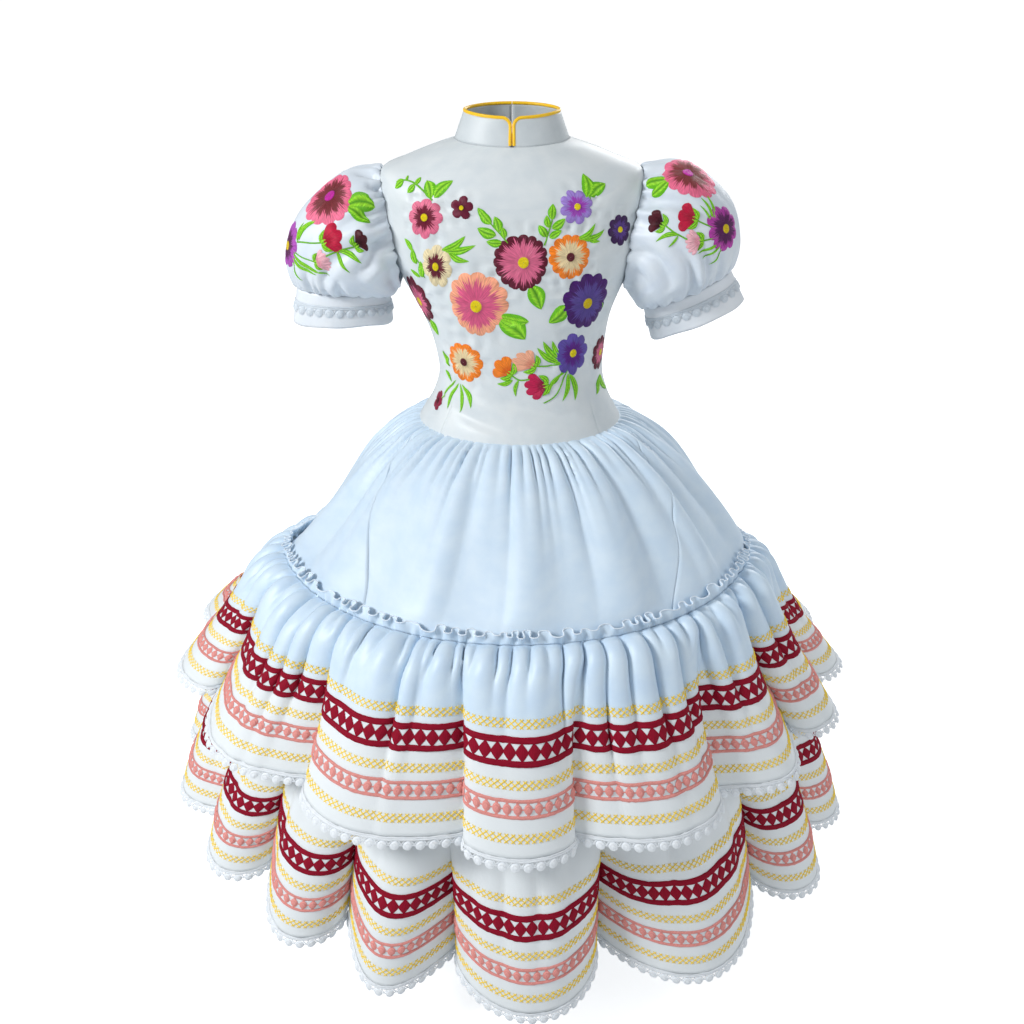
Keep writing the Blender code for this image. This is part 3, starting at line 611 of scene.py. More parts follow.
# %% Collar halves and their piping
# A half starts at the slit in front, its top edge rises round the corner on a quarter circle,
# and the piping follows that edge from the neck seam up, round and back.
COLLAR_FOOT, CORD_LIFT = 0.0009, 0.0004
SIGN = {"left": 1, "right": -1}      # of X
slit = 0.85 * PIPING
corner = slit + COLLAR_CORNER * (1 - np.cos(np.linspace(0, np.pi / 2, 12)))
along = np.concatenate([corner, np.linspace(corner[-1], COLLAR_ARC - SEAM / 2, 50)[1:]])
fall = 1 - np.clip((slit + COLLAR_CORNER - along) / COLLAR_CORNER, 0, 1) ** 2
top = COLLAR_HEIGHT - COLLAR_CORNER * (1 - np.sqrt(fall))
turn = np.linspace(np.pi, np.pi / 2, 14)
straight = along[13:]
edge_along = np.concatenate([[slit] * 6, slit + COLLAR_CORNER * (1 + np.cos(turn)), straight])
edge_height = np.concatenate([
    np.linspace(0.0004, 0.0175, 6), COLLAR_HEIGHT - COLLAR_CORNER * (1 - np.sin(turn)),
    np.full(len(straight), COLLAR_HEIGHT)])
share = np.linspace(1, 0, 12)[:, None]
for word, side in SIGN.items():
    half = collar(along[None, :], (top + COLLAR_FOOT)[None, :] * share - COLLAR_FOOT, side)
    cloth_piece("collar_%s_cloth" % word, half[:, ::side], CLOTH, collar_satin_painted_shade, "satin_white",
                "collar_" + word)
    path = collar(edge_along, edge_height + CORD_LIFT, side, CLOTH / 2)[::side]
    finished(cord_along("piping_%s_cord" % word, path, unit(path * (1, 1, 0)), PIPING),
             yellow_cord, "yellow_cord", "piping_" + word)

# %% [markdown]
# ## Puff sleeves and cuffs
# A puff sleeve is a wide piece drawn up on two threads, at the armhole and at the cuff. The puff
# here is a smooth curve through six rings. Gathers radiate from both ends, of uneven depth and
# length. A cloth simulation would choose its own creases, so the long ones are listed one by one
# where the photograph shows them.

# %% Sleeve measurements
PUFFS = {   # each ring's top_x, top_z, under_x, under_z and half_depth, in millimetres
    "left": [
        (150, -27, 125, -160, 61), (188, -26, 129, -167, 72), (233, -62, 134, -174, 72),
        (247, -106, 139, -180, 60), (240, -139, 146, -182, 36),
    ],
    "right": [
        (150, -30, 124.5, -159, 61), (181, -37, 126.5, -163, 72), (229, -78, 128.5, -166, 72),
        (246, -126, 131, -167, 60), (238, -159, 135, -164, 36),
    ],
}
CUFF_EDGES = {"left": (258, -174, 156, -218, 34), "right": (245, -199, 133, -198, 34)}
A_RING, A_TURN_DEGREE = 0.040, 0.0012      # metres along the puff and round it
# Creases: millimetres along and round where they start and end, then width and height.
# The first few are the same on both sleeves.
BOTH_CREASES = [
    (6, 90, 36, 200, 14, 7), (0, -50, 110, -58, 8, -5.5), (10, -110, 150, -100, 8, -6),
    (120, -40, 198, -30, 6, -3.5), (140, -90, 198, -105, 6, -4),
]
PUFF_CREASES = {
    "right": BOTH_CREASES + [
        (4, 117, 172, 92, 8.5, -12), (4, 106, 150, 100, 10, 8), (2, 104, 100, 128, 6, -7),
        (4, 128, 120, 142, 9, 5), (0, 82, 100, 78, 6.2, -8.5), (0, 68, 70, 60, 6, 4.5),
        (0, 94, 60, 90, 4.5, -6), (0, 56, 50, 46, 5, -6), (0, 36, 70, 16, 6.5, -7.5),
        (0, 12, 75, -4, 7, -6.5), (0, 140, 120, 126, 7, -4.5), (120, 80, 196, 66, 8, -3),
        (150, 44, 198, 36, 5, -3), (140, 110, 198, 124, 6, -4),
    ],
    "left": BOTH_CREASES + [
        (0, 74, 98, 69, 7, -8), (0, 84, 90, 80, 7, 4), (10, 118, 140, 136, 7, -7),
        (80, 104, 198, 112, 5, -6), (120, 98, 198, 100, 5, 4), (100, 88, 198, 90, 5, -5.5),
        (140, 70, 198, 74, 5, -4.5), (0, 36, 60, 26, 6, -4), (0, 4, 70, 0, 7, -4),
        (10, 146, 110, 160, 7, -4.5),
    ],
}
PUFF_GATHERS = [   # valleys and depths, metres high, rings until they are full, how far sunk
    (uneven(34, 0.9, 11), 0.0072, 0.30, 0.7), (uneven(13, 0.9, 14, 0.2), 0.0070, 0.8, 0.75),
    (uneven(26, 0.9, 12), 0.0050, 0.30, 0.4)]
SEAM_REACH, SEAM_HALF = 28.57, 1.533      # degrees and levels, just outside the armhole
print(len(PUFFS["left"]), "rings below the armhole")

# %% The sleeve's smooth form, by ring and turn
def ellipse(values, turn):
    """A ring from its top point by its front to its underarm point and back, in degrees. values
    is a ring's row in the tables."""
    top_x, top_z, under_x, under_z, half_depth = np.array(values) * MM
    top, under = np.array([top_x, 0, top_z]), np.array([under_x, 0, under_z])
    sine, cosine = sines(turn)
    return ((top + under) / 2 + cosine[..., None] * (top - under) / 2
            + sine[..., None] * np.array([0, -half_depth, 0]))


def armhole(turn):
    """The sleeve's seam: on the bodice just outside the armhole's edge."""
    sine, cosine = sines(turn)
    angle, level = 90.0 - SEAM_REACH * sine, ARM_MIDDLE - SEAM_HALF * cosine
    return torso(angle, level) + LAP * outward(torso, angle, level)


def puff_form(word):
    """The smooth puff: for the left sleeve across is the ring and down the turn. The right
    sleeve is mirrored, so its ring is counted backwards to keep the cloth facing out."""
    def form(across, down):
        ring, turn = np.broadcast_arrays(SIGN[word] * np.asarray(across, float), down)
        rings = np.stack([armhole(turn)] + [ellipse(row, turn) for row in PUFFS[word]], axis=-2)

        def row(number):
            return np.take_along_axis(rings, number[..., None, None], axis=-2)[..., 0, :]
        return through_rows(row, len(PUFFS[word]) + 1, ring) * (SIGN[word], 1.0, 1.0)
    return form

# %% Gathers and creases of the sleeve
def swell(distance, reach):
    """Up to 1 over a reach and down again further on: x times e to the power of 1 - x."""
    return distance / reach * np.exp(1 - distance / reach)


def puff_height(word, ring, turn):
    """Creases, and three sets of gathers that rise and fade, two from the armhole, where they
    are fullest on top, and one from the cuff."""
    turn = (turn + 180.0) % 360.0 - 180.0
    full = 0.35 + 0.65 * (1 + sines(turn)[1]) / 2
    height = creased(ring * A_RING, turn * A_TURN_DEGREE, PUFF_CREASES[word])
    for (gathers, tall, reach, sunk), away, share in zip(
            PUFF_GATHERS, (ring, ring, 5 - ring), (full, full, 1)):
        height = height + tall * swell(away, reach) * share * (gathered(turn, *gathers) - sunk)
    return height * np.clip(ring / 0.12, 0, 1) * np.clip((5 - ring) / 0.08, 0, 1)


def puff(word):
    """The puff with its gathers and creases."""
    form = puff_form(word)

    def cloth(across, down):
        across, down = np.broadcast_arrays(np.asarray(across, float), np.asarray(down, float))
        height = puff_height(word, SIGN[word] * across, down)
        return form(across, down) + height[..., None] * outward(form, across, down)
    return cloth

# %% The cuff's form
CUFF_WAVE, CUFF_STARTS = 0.0012, 0.012      # metres, and a share of the way to its edge


def cuff(word):
    """Straight from the puff's last ring to the cuff's edge, with five slight waves round it.
    across is the share of the way."""
    def cloth(across, down):
        share, turn = np.broadcast_arrays(SIGN[word] * np.asarray(across, float), down)
        first, last = ellipse(PUFFS[word][-1], turn), ellipse(CUFF_EDGES[word], turn)
        wave = CUFF_WAVE * sines(5 * turn + 40)[0] * np.clip(share, 0, 1)
        sine, cosine = sines(turn)
        point = (first + (last - first) * (CUFF_STARTS + (1 - CUFF_STARTS) * share)[..., None]
                 + np.stack([0 * wave, -sine * wave, cosine * wave], -1))
        return point * (SIGN[word], 1.0, 1.0)
    return cloth

# %% Sleeve and cuff pieces
rings = np.concatenate([np.linspace(0, 1, 18)[:-1], np.linspace(1, 4, 26)[:-1],
                        np.linspace(4, 5, 18)])[:, None]
turns = np.linspace(0, 360, 200, endpoint=False)[None, ::-1]
shares = np.linspace(0, 1, 14)[:, None]
for word, sign in SIGN.items():
    cloth_piece("sleeve_%s_cloth" % word, puff(word)(sign * rings, turns[:, ::sign]), 0.0011,
                sleeve_satin, "satin_blue", "sleeve_" + word, closed=True)
    cloth_piece("cuff_%s_cloth" % word, cuff(word)(sign * shares, turns[:, ::2][:, ::sign]),
                0.0014, cuff_satin_painted_light, "satin_white", "cuff_" + word, closed=True)

# %% [markdown]
# ## Skirt
# Four panels, gathered into the waist seam. Small gathers start under the seam with uneven depth
# and die out within a hand's width, and broad soft folds carry on down. The panels could be four
# shapes of their own, but as parts of one function they share their folds, which then run on
# across the seams. Below the gather line of the upper ruffle the skirt runs on, plain and hidden.

# %% Skirt measurements
SKIRT = np.array([
    # z_front, z_side, front, side, back, shift, front and back seam in degrees, gather, fold,
    # long_gather; all lengths in millimetres
    (-309.5, -309.5, 97.8, 114.6, 95.8, 9, 66, 122, 0.3, 0, 0),      # tucked in
    (-313.6, -314, 104.8, 121.8, 102.8, 9, 66, 122, 7.6, 0, 1.6),
    (-321, -325, 118, 139, 118, 10, 63, 124, 9.4, 1.6, 7),
    (-346, -354, 156, 179, 160, 12, 56, 128, 2.8, 7.5, 12.6),
    (-388, -396, 208, 220, 212, 13, 47, 134, 0.4, 11.5, 8.8),
    (-425, -429, 247, 250, 250, 11, 41, 139, 0, 11.5, 4.6),
    (-444, -446, 264, 265, 267, 8, 38, 141, 0, 6.2, 2),
    (-456, -457, 273.5, 274, 277, 6, 36, 142, 0, 0, 0.4),
    (-470, -471, 279, 280, 282.5, 5, 35, 143, 0, 0, 0),      # hidden
    (-500, -500, 286, 290, 290, 3, 35, 143, 0, 0, 0),
    (-650, -605, 312, 335, 320, 0, 34, 144, 0, 0, 0),      # lower edge
]) * (*[MM] * 6, 1, 1, *[MM] * 3)
WAIST_GATHERS = uneven(74, 1.2, 21, 0.25)
LONG_GATHERS = uneven(27, 0.9, 22, 0.2)
print(len(SKIRT), "sections of the skirt")
BROAD_FOLDS, WAIST_PINCH, LONG_PINCH = 14, 90, 26      # a count, and degrees for a metre of height


def skirt(angle, row):
    """Ellipses from the waist down. Gathers stand out between narrow valleys and crowd towards
    them, and the broad folds are a cosine round the skirt whose spacing wanders."""
    angle, row = np.broadcast_arrays(np.asarray(angle, float), np.asarray(row, float))
    *body, _, _, gather, fold, long_gather = np.moveaxis(between_rows(SKIRT, row), -1, 0)
    wave = (1 + sines(BROAD_FOLDS * angle + 25 * sines(3 * angle)[0])[1]) / 2
    small = gather * (gathered(angle, *WAIST_GATHERS, 1.3) - 0.4)
    out = small + fold * (wave - 0.35) + long_gather * (
        gathered(angle, *LONG_GATHERS, 1.2) - 0.6)
    pinch = (WAIST_PINCH * gather * crowded(angle, *WAIST_GATHERS)
             + LONG_PINCH * long_gather * crowded(angle, *LONG_GATHERS))
    point = round_body(angle + pinch, *body, out)
    point[..., 2] += 0.6 * small
    return point

# %% Skirt panels
rows = np.concatenate([np.linspace(0, 3, 26)[:-1], np.linspace(3, 7, 26),
                       np.linspace(7, 10, 10)[1:]])
seams = between_rows(SKIRT, rows)[:, 6:8]
front, back = seams[:, :1], seams[:, 1:]
for name, first, last, columns in (("skirt_front", -front, front, 150),
                                   ("skirt_side_left", front, back, 84),
                                   ("skirt_back", back, 360 - back, 130),
                                   ("skirt_side_right", 360 - back, 360 - front, 84)):
    angles = first + (last - first) * np.linspace(0, 1, columns + 1)
    cloth_piece(name + "_cloth", parted(skirt(angles, rows[:, None])), 0.0011, skirt_satin,
                "satin_blue", name)

# %% [markdown]
# ## Ruffles
# A ruffle is a long straight strip drawn up on a thread to about two thirds of its length. Right
# under the thread it puffs out between small pleats, lower down the pleats join into a few deep
# folds, and the hem swings out in lobes. A simulated strip would need a petticoat under it to
# swing like that. So one function adds three sizes of fold instead: fine pleats and gathers that
# fade from the thread down, and deep folds, each with its own angle, depth and lean, that grow
# towards the hem.

# %% Ruffle measurements
ROW_UNITS, FOLD_UNITS = (*[MM] * 6, 1, MM, MM), (1, MM, 1)
UPPER = np.array([
    # z_front, z_side, front, side, back, shift, fold_share, gather, pleat
    (-456, -457, 275.6, 276.1, 279.1, 6, 0, 2, 4.4),      # gather line
    (-459.2, -460.4, 284, 284.8, 287.8, 5, 0.06, 9.5, 10.2),      # puffs out
    (-469, -470.5, 296.5, 299, 301, 4, 0.16, 18.5, 8.6),
    (-487, -488.5, 311, 315, 317, 1, 0.34, 22.5, 3),
    (-526, -519, 336, 339, 343, 0, 0.62, 14, 0),      # red band's top
    (-553, -541, 348, 356, 356, 0, 0.76, 7.6, 0),
    (-585, -565, 360, 374.5, 369, 0, 0.87, 4.2, 0),      # pink band's top
    (-604, -579.5, 367, 385.5, 377, 0, 0.92, 2.4, 0),
    (-638, -607, 380, 405, 392, 0, 1, 1.8, 0),      # hem
]) * ROW_UNITS
LOWER = np.array([
    (-650.4, -605.4, 312.5, 335.6, 320.6, 0, 0, 0.8, 0.8),      # seam
    (-695, -644, 333, 360.5, 343, 0, 0.34, 6, 0),
    (-740, -683, 350, 382, 362, 0, 0.62, 7, 0),      # red band's top
    (-769, -708, 357, 395, 371, 0, 0.75, 4.4, 0),
    (-802, -737, 363, 408, 378, 0, 0.88, 2.8, 0),      # pink band's top
    (-821, -754, 366, 415, 382, 0, 0.94, 1, 0),
    (-857, -786, 371, 426, 388, 0, 1, 0.6, 0),      # hem
]) * ROW_UNITS
UPPER_FOLDS = np.array([
    # valley in degrees, its depth at the hem, and how many degrees it leans under a neighbour
    (-10.6, 34, 4.2), (12.6, 36, -3.6), (39, 42, -3.8), (56, 42, 3), (75, 38, 2), (95, 33, -1),
    (118, 26, 1.5), (142, 30, 0), (165, 26, -1.5), (189, 30, 1), (214, 26, 0), (241, 30, 1.5),
    (270, 38, -1.5), (295, 42, -3.2), (321, 44, 3.6),
]) * FOLD_UNITS
LOWER_FOLDS = np.array([
    (-12, 66, 2.4), (17.5, 86, -2), (48, 60, 2), (68, 45, 1.5), (90, 42, -1), (114, 45, 0),
    (138, 48, 1.5), (162, 50, 0), (186, 52, -1.5), (210, 48, 0), (234, 45, 1), (256, 42, 0),
    (276, 42, -1), (296, 45, 1.6), (314, 54, -2), (332, 60, -2.4),
]) * FOLD_UNITS
PLEATS, UPPER_GATHERS = uneven(112, 1.1, 31, 0.3), uneven(50, 1.1, 32, 0.25)
LOWER_GATHERS = uneven(52, 0.9, 33, 0.2)
print(len(UPPER_FOLDS), "and", len(LOWER_FOLDS), "deep folds")

# %% A ruffle as a function of place and level
FOLD_ROUNDNESS, GATHER_PINCH, PLEAT_PINCH = 0.7, 50, 115


def ruffle(table, folds, gathers, lift, drop):
    """A ruffle as a function of place, counted in folds round the body, and level in its
    table. A fold is one minus a rounded lobe, times its depth: it moves the cloth in, lifts
    the hem a little and leans sideways."""
    count = np.arange(len(folds) + 1)
    valley, depths, leans = np.vstack([folds, folds[:1] + (360.0, 0, 0)]).T

    def cloth(place, level):
        place, level = np.broadcast_arrays(np.asarray(place, float), np.asarray(level, float))
        turned = place % len(folds)
        angle = np.interp(turned, count, valley)
        inward = 1 - lobes(turned, FOLD_ROUNDNESS)
        depth = inward * np.interp(turned, count, depths)
        lean = inward ** 2 * np.interp(turned, count, leans)
        *body, share, gather, pleat = np.moveaxis(between_rows(table, level), -1, 0)
        puff_out = (gather * (gathered(angle, *gathers, 1.2) - 0.6)
                    + pleat * (gathered(angle, *PLEATS, 1.4) - 0.6))
        pinch = (GATHER_PINCH * gather * crowded(angle, *gathers)
                 + PLEAT_PINCH * pleat * crowded(angle, *PLEATS))
        point = round_body(angle + share * lean + pinch, *body, puff_out - share * depth)
        point[..., 2] += (1 - share) ** 2 * puff_out + share * (lift * depth
                                                               - drop * sines(angle)[0])
        return point
    return cloth


tiers = {
    "upper": (ruffle(UPPER, UPPER_FOLDS, UPPER_GATHERS, 0.10, 0.010), UPPER, UPPER_FOLDS),
    "lower": (ruffle(LOWER, LOWER_FOLDS, LOWER_GATHERS, 0.35, 0.028), LOWER, LOWER_FOLDS),
}
tier_levels = {
    "upper": np.concatenate([np.linspace(0, 3, 16)[:-1], np.linspace(3, 8, 24)]),
    "lower": np.concatenate([np.linspace(0, 2, 13)[:-1], np.linspace(2, 6, 22)]),
}

# %% How far it is down and along a ruffle
def slope_lengths(tier):
    """Metres from the top of a ruffle down to fine steps of level, the mean over the three
    crests in front."""
    cloth, table, _ = tiers[tier]
    level = np.linspace(0, len(table) - 1, 200)
    crests = cloth(np.array([[-0.5, 0.5, 1.5]]), level[:, None])
    return level, lengths(crests, 0)


def level_at(tier, down):
    """The table level that lies some metres below the top of a ruffle."""
    level, so_far = slope_lengths(tier)
    return np.interp(down, so_far, level)


def run_along(tier, down):
    """The length of a ruffle along one level, and the place in folds at each length."""
    cloth, _, folds = tiers[tier]
    place = np.linspace(0, len(folds), 7000)
    line = cloth(place, np.full(place.shape, level_at(tier, down)))
    so_far = lengths(line[None], 1)
    return so_far[-1], lambda along: np.interp(along % so_far[-1], so_far, place)


DROPS = {   # metres from a ruffle's top to its trims
    "upper": {"yellow": (0.085, 0.1455, 0.199), "red": 0.1125, "pink": 0.1695, "hem": 0.2165},
    "lower": {"yellow": (0.082, 0.145, 0.198), "red": 0.112, "pink": 0.170, "hem": 0.2155},
}
for tier in tiers:
    print(tier, "ruffle:", round(slope_lengths(tier)[1][-1], 3), "m deep,",
          round(run_along(tier, DROPS[tier]["red"])[0], 2), "m along the red band")

# %% Ruffle cloth
COLUMNS, SEWN_HEM = {"upper": 800, "lower": 720}, (0.0045, 0.0075)
BACKED = {"upper": DROPS["upper"]["yellow"][0], "lower": 0.0}
for tier, (cloth, _, folds) in tiers.items():
    ruffle_satin = satin("ruffle_satin_" + tier, "C6DBEF", "D2E4F2", backed=BACKED[tier],
                         rows=[DROPS[tier]["hem"] - above for above in SEWN_HEM])
    places = np.arange(COLUMNS[tier]) * len(folds) / COLUMNS[tier]
    cloth_piece("ruffle_%s_cloth" % tier, cloth(places, tier_levels[tier][:, None]), 0.0010,
                ruffle_satin, "satin_blue", "ruffle_" + tier, closed=True)

# %% [markdown]
# ## Standing frill
# Above its gathering thread the upper ruffle's raw edge stands up as a narrow frill, overlocked
# with white thread. The edge snakes from side to side more than it goes along. A plain sine can't
# double back, so it is a meander: a cosine up and down with a sine of twice its pace along. Its
# crests run forward and the stretches between them run back.

# %% The frill as a function of angle and height
FRILL_WAVES, FRILL_LENGTH, FRILL_SWING, FRILL_SWAY = 92, 0.0135, 0.0050, 0.0020
GATHER_LINE = UPPER[0]
UP_SLOPE, OFF_SLOPE = (-0.62, 0.78), (0.78, 0.62)      # out and up, along the skirt and off it
RISE, LEAN = (0.78, 0.85), (0.52, -0.55)      # shares of its length and of its swing


def frill(angle, height):
    """height is 0 on the gather line and 1 at the free edge. The frill leans off the skirt and
    swings along its slope, in waves of uneven length and size, with pleats at its foot."""
    angle, height = np.broadcast_arrays(np.asarray(angle, float), np.asarray(height, float))
    phase = (FRILL_WAVES * angle + 150 * sines(5 * angle)[0] + 120 * sines(11 * angle + 40)[0]
             + 70 * sines(26 * angle + 10)[0])
    size = 0.86 + 0.26 * sines(17 * angle)[0] + 0.24 * sines(37 * angle + 70)[0]
    swing = height ** 1.2 * FRILL_SWING * size * sines(phase)[1]
    up, off = (long * FRILL_LENGTH * height + wide * swing for long, wide in (RISE, LEAN))
    pleats = (1 - height) * (GATHER_LINE[7] * (gathered(angle, *UPPER_GATHERS, 1.2) - 0.6)
                             + GATHER_LINE[8] * (gathered(angle, *PLEATS, 1.4) - 0.6))
    sway = height * size * FRILL_SWAY * sines(2 * phase)[0] / GATHER_LINE[3]
    point = round_body(angle + np.degrees(sway), *GATHER_LINE[:6],
                       up * UP_SLOPE[0] + off * OFF_SLOPE[0] + pleats)
    point[..., 2] += up * UP_SLOPE[1] + off * OFF_SLOPE[1] + pleats
    return point

# %% Frill and its overlocked edge
OVERLOCK, THREAD_STEPS = 0.0007, (0.0014, 0.0011)      # radius, and UV steps along and round
angles = np.linspace(0, 360, 1500, endpoint=False)
heights = np.linspace(1, 0, 7)[:, None]
cloth_piece("ruffle_upper_frill", frill(angles, heights), 0.0008, skirt_satin, "satin_blue",
            "ruffle_upper", closed=True)
edge = frill(angles, 1.0)
across = unit(np.cross(np.roll(edge, -1, 0) - np.roll(edge, 1, 0), (0, 0, 1.0)))
sine, cosine = sines(np.linspace(0, 360, 6, endpoint=False)[:, None, None])
ring = edge + OVERLOCK * (cosine * across + sine * np.array([0, 0, 1.0]))
index = np.pad(np.arange(6 * len(angles)).reshape(6, -1), (0, 1), mode="wrap")
edge_uv = np.stack(np.meshgrid(*(np.arange(index.shape[1 - i]) * THREAD_STEPS[i]
                                 for i in (0, 1))), -1)
corners = cell_corners(np.arange(index.size).reshape(index.shape)).reshape(-1, 4)
edge = new_piece("frill_overlocked_edge", ring, cell_corners(index).reshape(-1, 4),
                 edge_uv.reshape(-1, 2)[corners])
finished(edge, overlock_thread, "lace")

# %% [markdown]
# ## Trims
# Guipure braid is embroidery without a ground: solid shapes joined by bars, with open holes. A
# picture with holes would look flat at the edges of the folds, so the braids are meshes. Each is
# laid on its ruffle by a function of three lengths: along its line, down the cloth and out of it.
# So a flat pattern of diamonds, balls or crossed threads follows every fold. One square grid,
# turned by 45 degrees, makes every closed shape: pushed out to rings where |x|^p + |y|^p is the
# same, it is a diamond for p = 1 and a circle for p = 2.

# %% Laying a trim on a ruffle
def on_ruffle(tier, middle):
    """The length of a ruffle along one line, and a function that lays a trim on it: metres
    along the line, down from the ruffle's top and out of the cloth. Below the hem a trim hangs
    straight on."""
    cloth, table, _ = tiers[tier]
    total, place_at = run_along(tier, middle)
    deep, last = slope_lengths(tier)[1][-1], len(table) - 1.0

    def lay(along, down, lift):
        place, level, down, lift = np.broadcast_arrays(place_at(along), level_at(tier, down), down,
                                                       lift)
        hang = unit(cloth(place, last) - cloth(place, last - 0.2))
        return (cloth(place, level) + np.maximum(down - deep, 0)[..., None] * hang
                + lift[..., None] * outward(cloth, place, level))
    return total, lay

# %% Laying a trim on a cuff
def on_cuff(word):
    """The same for a cuff, with metres down from its seam to the sleeve, and its height."""
    cloth, sign = cuff(word), SIGN[word]
    turn = np.linspace(360, 0, 721)[::sign]
    so_far = lengths(cloth(np.full(turn.shape, sign * 0.6), turn)[None], 1)
    height = np.linalg.norm(np.diff(cloth(sign * np.array([0.0, 1.0]), np.full(2, 90.0)), axis=0))

    def lay(along, down, lift):
        turned, share, lift = np.broadcast_arrays(
            np.interp(along % so_far[-1], so_far, turn), sign * down / height, lift)
        return cloth(share, turned) + lift[..., None] * outward(cloth, share, turned)
    return so_far[-1], lay, height

# %% Many small grids as one mesh
def joined(name, parts):
    """One mesh from many small grids. A part is points, shaped copies by rows by columns, and
    UV pairs. Where the UV has one column more, the grid closes on its first column."""
    points, faces, uv, start = [], [], [], 0
    for grid, flat in parts:
        index = np.arange(grid[..., 0].size).reshape(grid.shape[:3])
        if flat.shape[2] > grid.shape[2]:
            index = np.concatenate([index, index[:, :, :1]], axis=2)
        corners = cell_corners(np.moveaxis(np.arange(index.size).reshape(index.shape), 0, -1))
        corners = corners.reshape(-1, 4)
        points.append(grid.reshape(-1, 3))
        faces.append(start + index.ravel()[corners])
        uv.append(flat.reshape(-1, 2)[corners])
        start += grid[..., 0].size
    return new_piece(name, *(np.concatenate(part) for part in (points, faces, uv)))

# %% Braid edges and bosses
def bar(lay, total, down, profile, columns, slant=0.0):
    """A braid's solid edge: pairs of offset and lift, carried all the way along. The threads of
    its UV run along it, or aslant for a rope."""
    offset, lift = np.array(profile).T[..., None]
    rough = 0.00012 * np.random.default_rng(columns).normal(size=(len(offset), columns))
    wide = np.linspace(0, total, columns + 1)[None, :]
    grid = lay(wide[:, :-1], down + offset + rough, lift + rough)
    flat = np.stack([slant * wide + offset, wide + 0 * offset], -1)
    return grid[None], flat[None]


def boss(points, power):
    """x, y and the share of the way out for a closed shape, on a square grid turned by 45
    degrees and pushed out to rings of |x|^p + |y|^p."""
    right, fall = np.meshgrid(np.linspace(-1, 1, points), np.linspace(-1, 1, points))
    x, y, share = (right - fall) / 2, (right + fall) / 2, np.maximum(np.abs(right), np.abs(fall))
    size = (np.abs(x) ** power + np.abs(y) ** power) ** (1 / power)
    grow = share / np.maximum(size, 1e-9)
    return x * grow, y * grow, share


def bosses(lay, total, pitch, down, half_width, half_height, low, tall, points, power, ringed=False,
           flip=False):
    """Equal domes side by side along a line. The thread runs across them, or in rings."""
    x, y, share = (part.T if flip else part for part in boss(points, power))
    count = int(round(total / pitch))
    along = np.arange(count)[:, None, None] * total / count + half_width * x
    dome = low + tall * np.sqrt(np.clip(1 - share ** 2.5, 0, 1)) * (
        1 - 0.35 * ringed * np.exp(-(share / 0.3) ** 2))
    flat = np.stack([share * half_width if ringed else half_width * x, half_height * y], -1)
    return (lay(along, down + half_height * y, dome + 0 * along),
            np.broadcast_to(flat, along.shape + (2,)))

# %% Threads sewn over the cloth
def raised_threads(lay, along, down, width, low, high):
    """Threads as ridges of three points across. along and down are copies by points."""
    along, down = np.broadcast_arrays(along, down)
    way = np.stack([np.gradient(along, axis=1), np.gradient(down, axis=1)])
    way = (way / np.linalg.norm(way, axis=0))[:, :, None]
    off = np.array([-0.5, 0.0, 0.5])[None, :, None] * width
    x, y = along[:, None] - off * way[1], down[:, None] + off * way[0]
    run = np.arange(along.shape[1]) * 0.003
    flat = np.stack(np.broadcast_arrays(off, run[None, None, :]), -1)
    return (lay(x, y, np.array([low, high, low])[None, :, None]),
            np.broadcast_to(flat, x.shape + (2,)))


def repeated(total, pitch):
    """Even starts along a line, a whole number of them, as a column."""
    count = int(round(total / pitch))
    return (np.arange(count) * total / count)[:, None]

# %% Dark red guipure: ribbed edges and a row of diamonds
RED_RIBS = np.array([(-0.2, 0.1), (0.4, 1.3), (2.0, 0.9), (3.1, 1.3), (4.4, 0.9), (5.9, 1.3),
                     (6.6, 0.3)]) * MM
for tier in tiers:
    middle = DROPS[tier]["red"]
    total, lay = on_ruffle(tier, middle)
    top = middle - 15 * MM
    parts = [bar(lay, total, top, RED_RIBS, COLUMNS[tier]),
             bar(lay, total, top + 30 * MM, (RED_RIBS * (-1, 1))[::-1], COLUMNS[tier]),
             bosses(lay, total, 12.3 * MM, middle, half_width=7.0 * MM, half_height=9.8 * MM,
                    low=0.3 * MM, tall=1.0 * MM, points=5, power=1.08)]
    finished(joined("band_red_%s_guipure" % tier, parts), red_braid, "red_braid",
             "band_red_" + tier)

# %% Pink guipure: two ropes and a row of rosettes
ROPE = np.array([(-0.1, 0.2), (0.6, 1.2), (1.7, 1.6), (2.8, 1.2), (3.6, 0.2)]) * MM
ROSETTES = 10.6 * MM
stay, link = np.linspace(-8.0, 8.0, 4) * MM, np.linspace(3.6, 7.0, 2) * MM
for tier in tiers:
    middle = DROPS[tier]["pink"]
    total, lay = on_ruffle(tier, middle)
    top, starts = middle - 10 * MM, repeated(total, ROSETTES)
    parts = [bar(lay, total, top, ROPE, COLUMNS[tier], 0.9),
             bar(lay, total, top + 16.5 * MM, ROPE, COLUMNS[tier], 0.9),
             bosses(lay, total, ROSETTES, middle, half_width=4.3 * MM, half_height=5.3 * MM,
                    low=0.4 * MM, tall=2.0 * MM, points=6, power=2.0, ringed=True),
             raised_threads(lay, starts, middle + stay, 3.0 * MM, 0.2 * MM, 0.9 * MM),
             raised_threads(lay, starts + link, middle, 1.4 * MM, 0.3 * MM, 1.0 * MM)]
    finished(joined("band_pink_%s_guipure" % tier, parts), pink_braid, "pink_braid",
             "band_pink_" + tier)

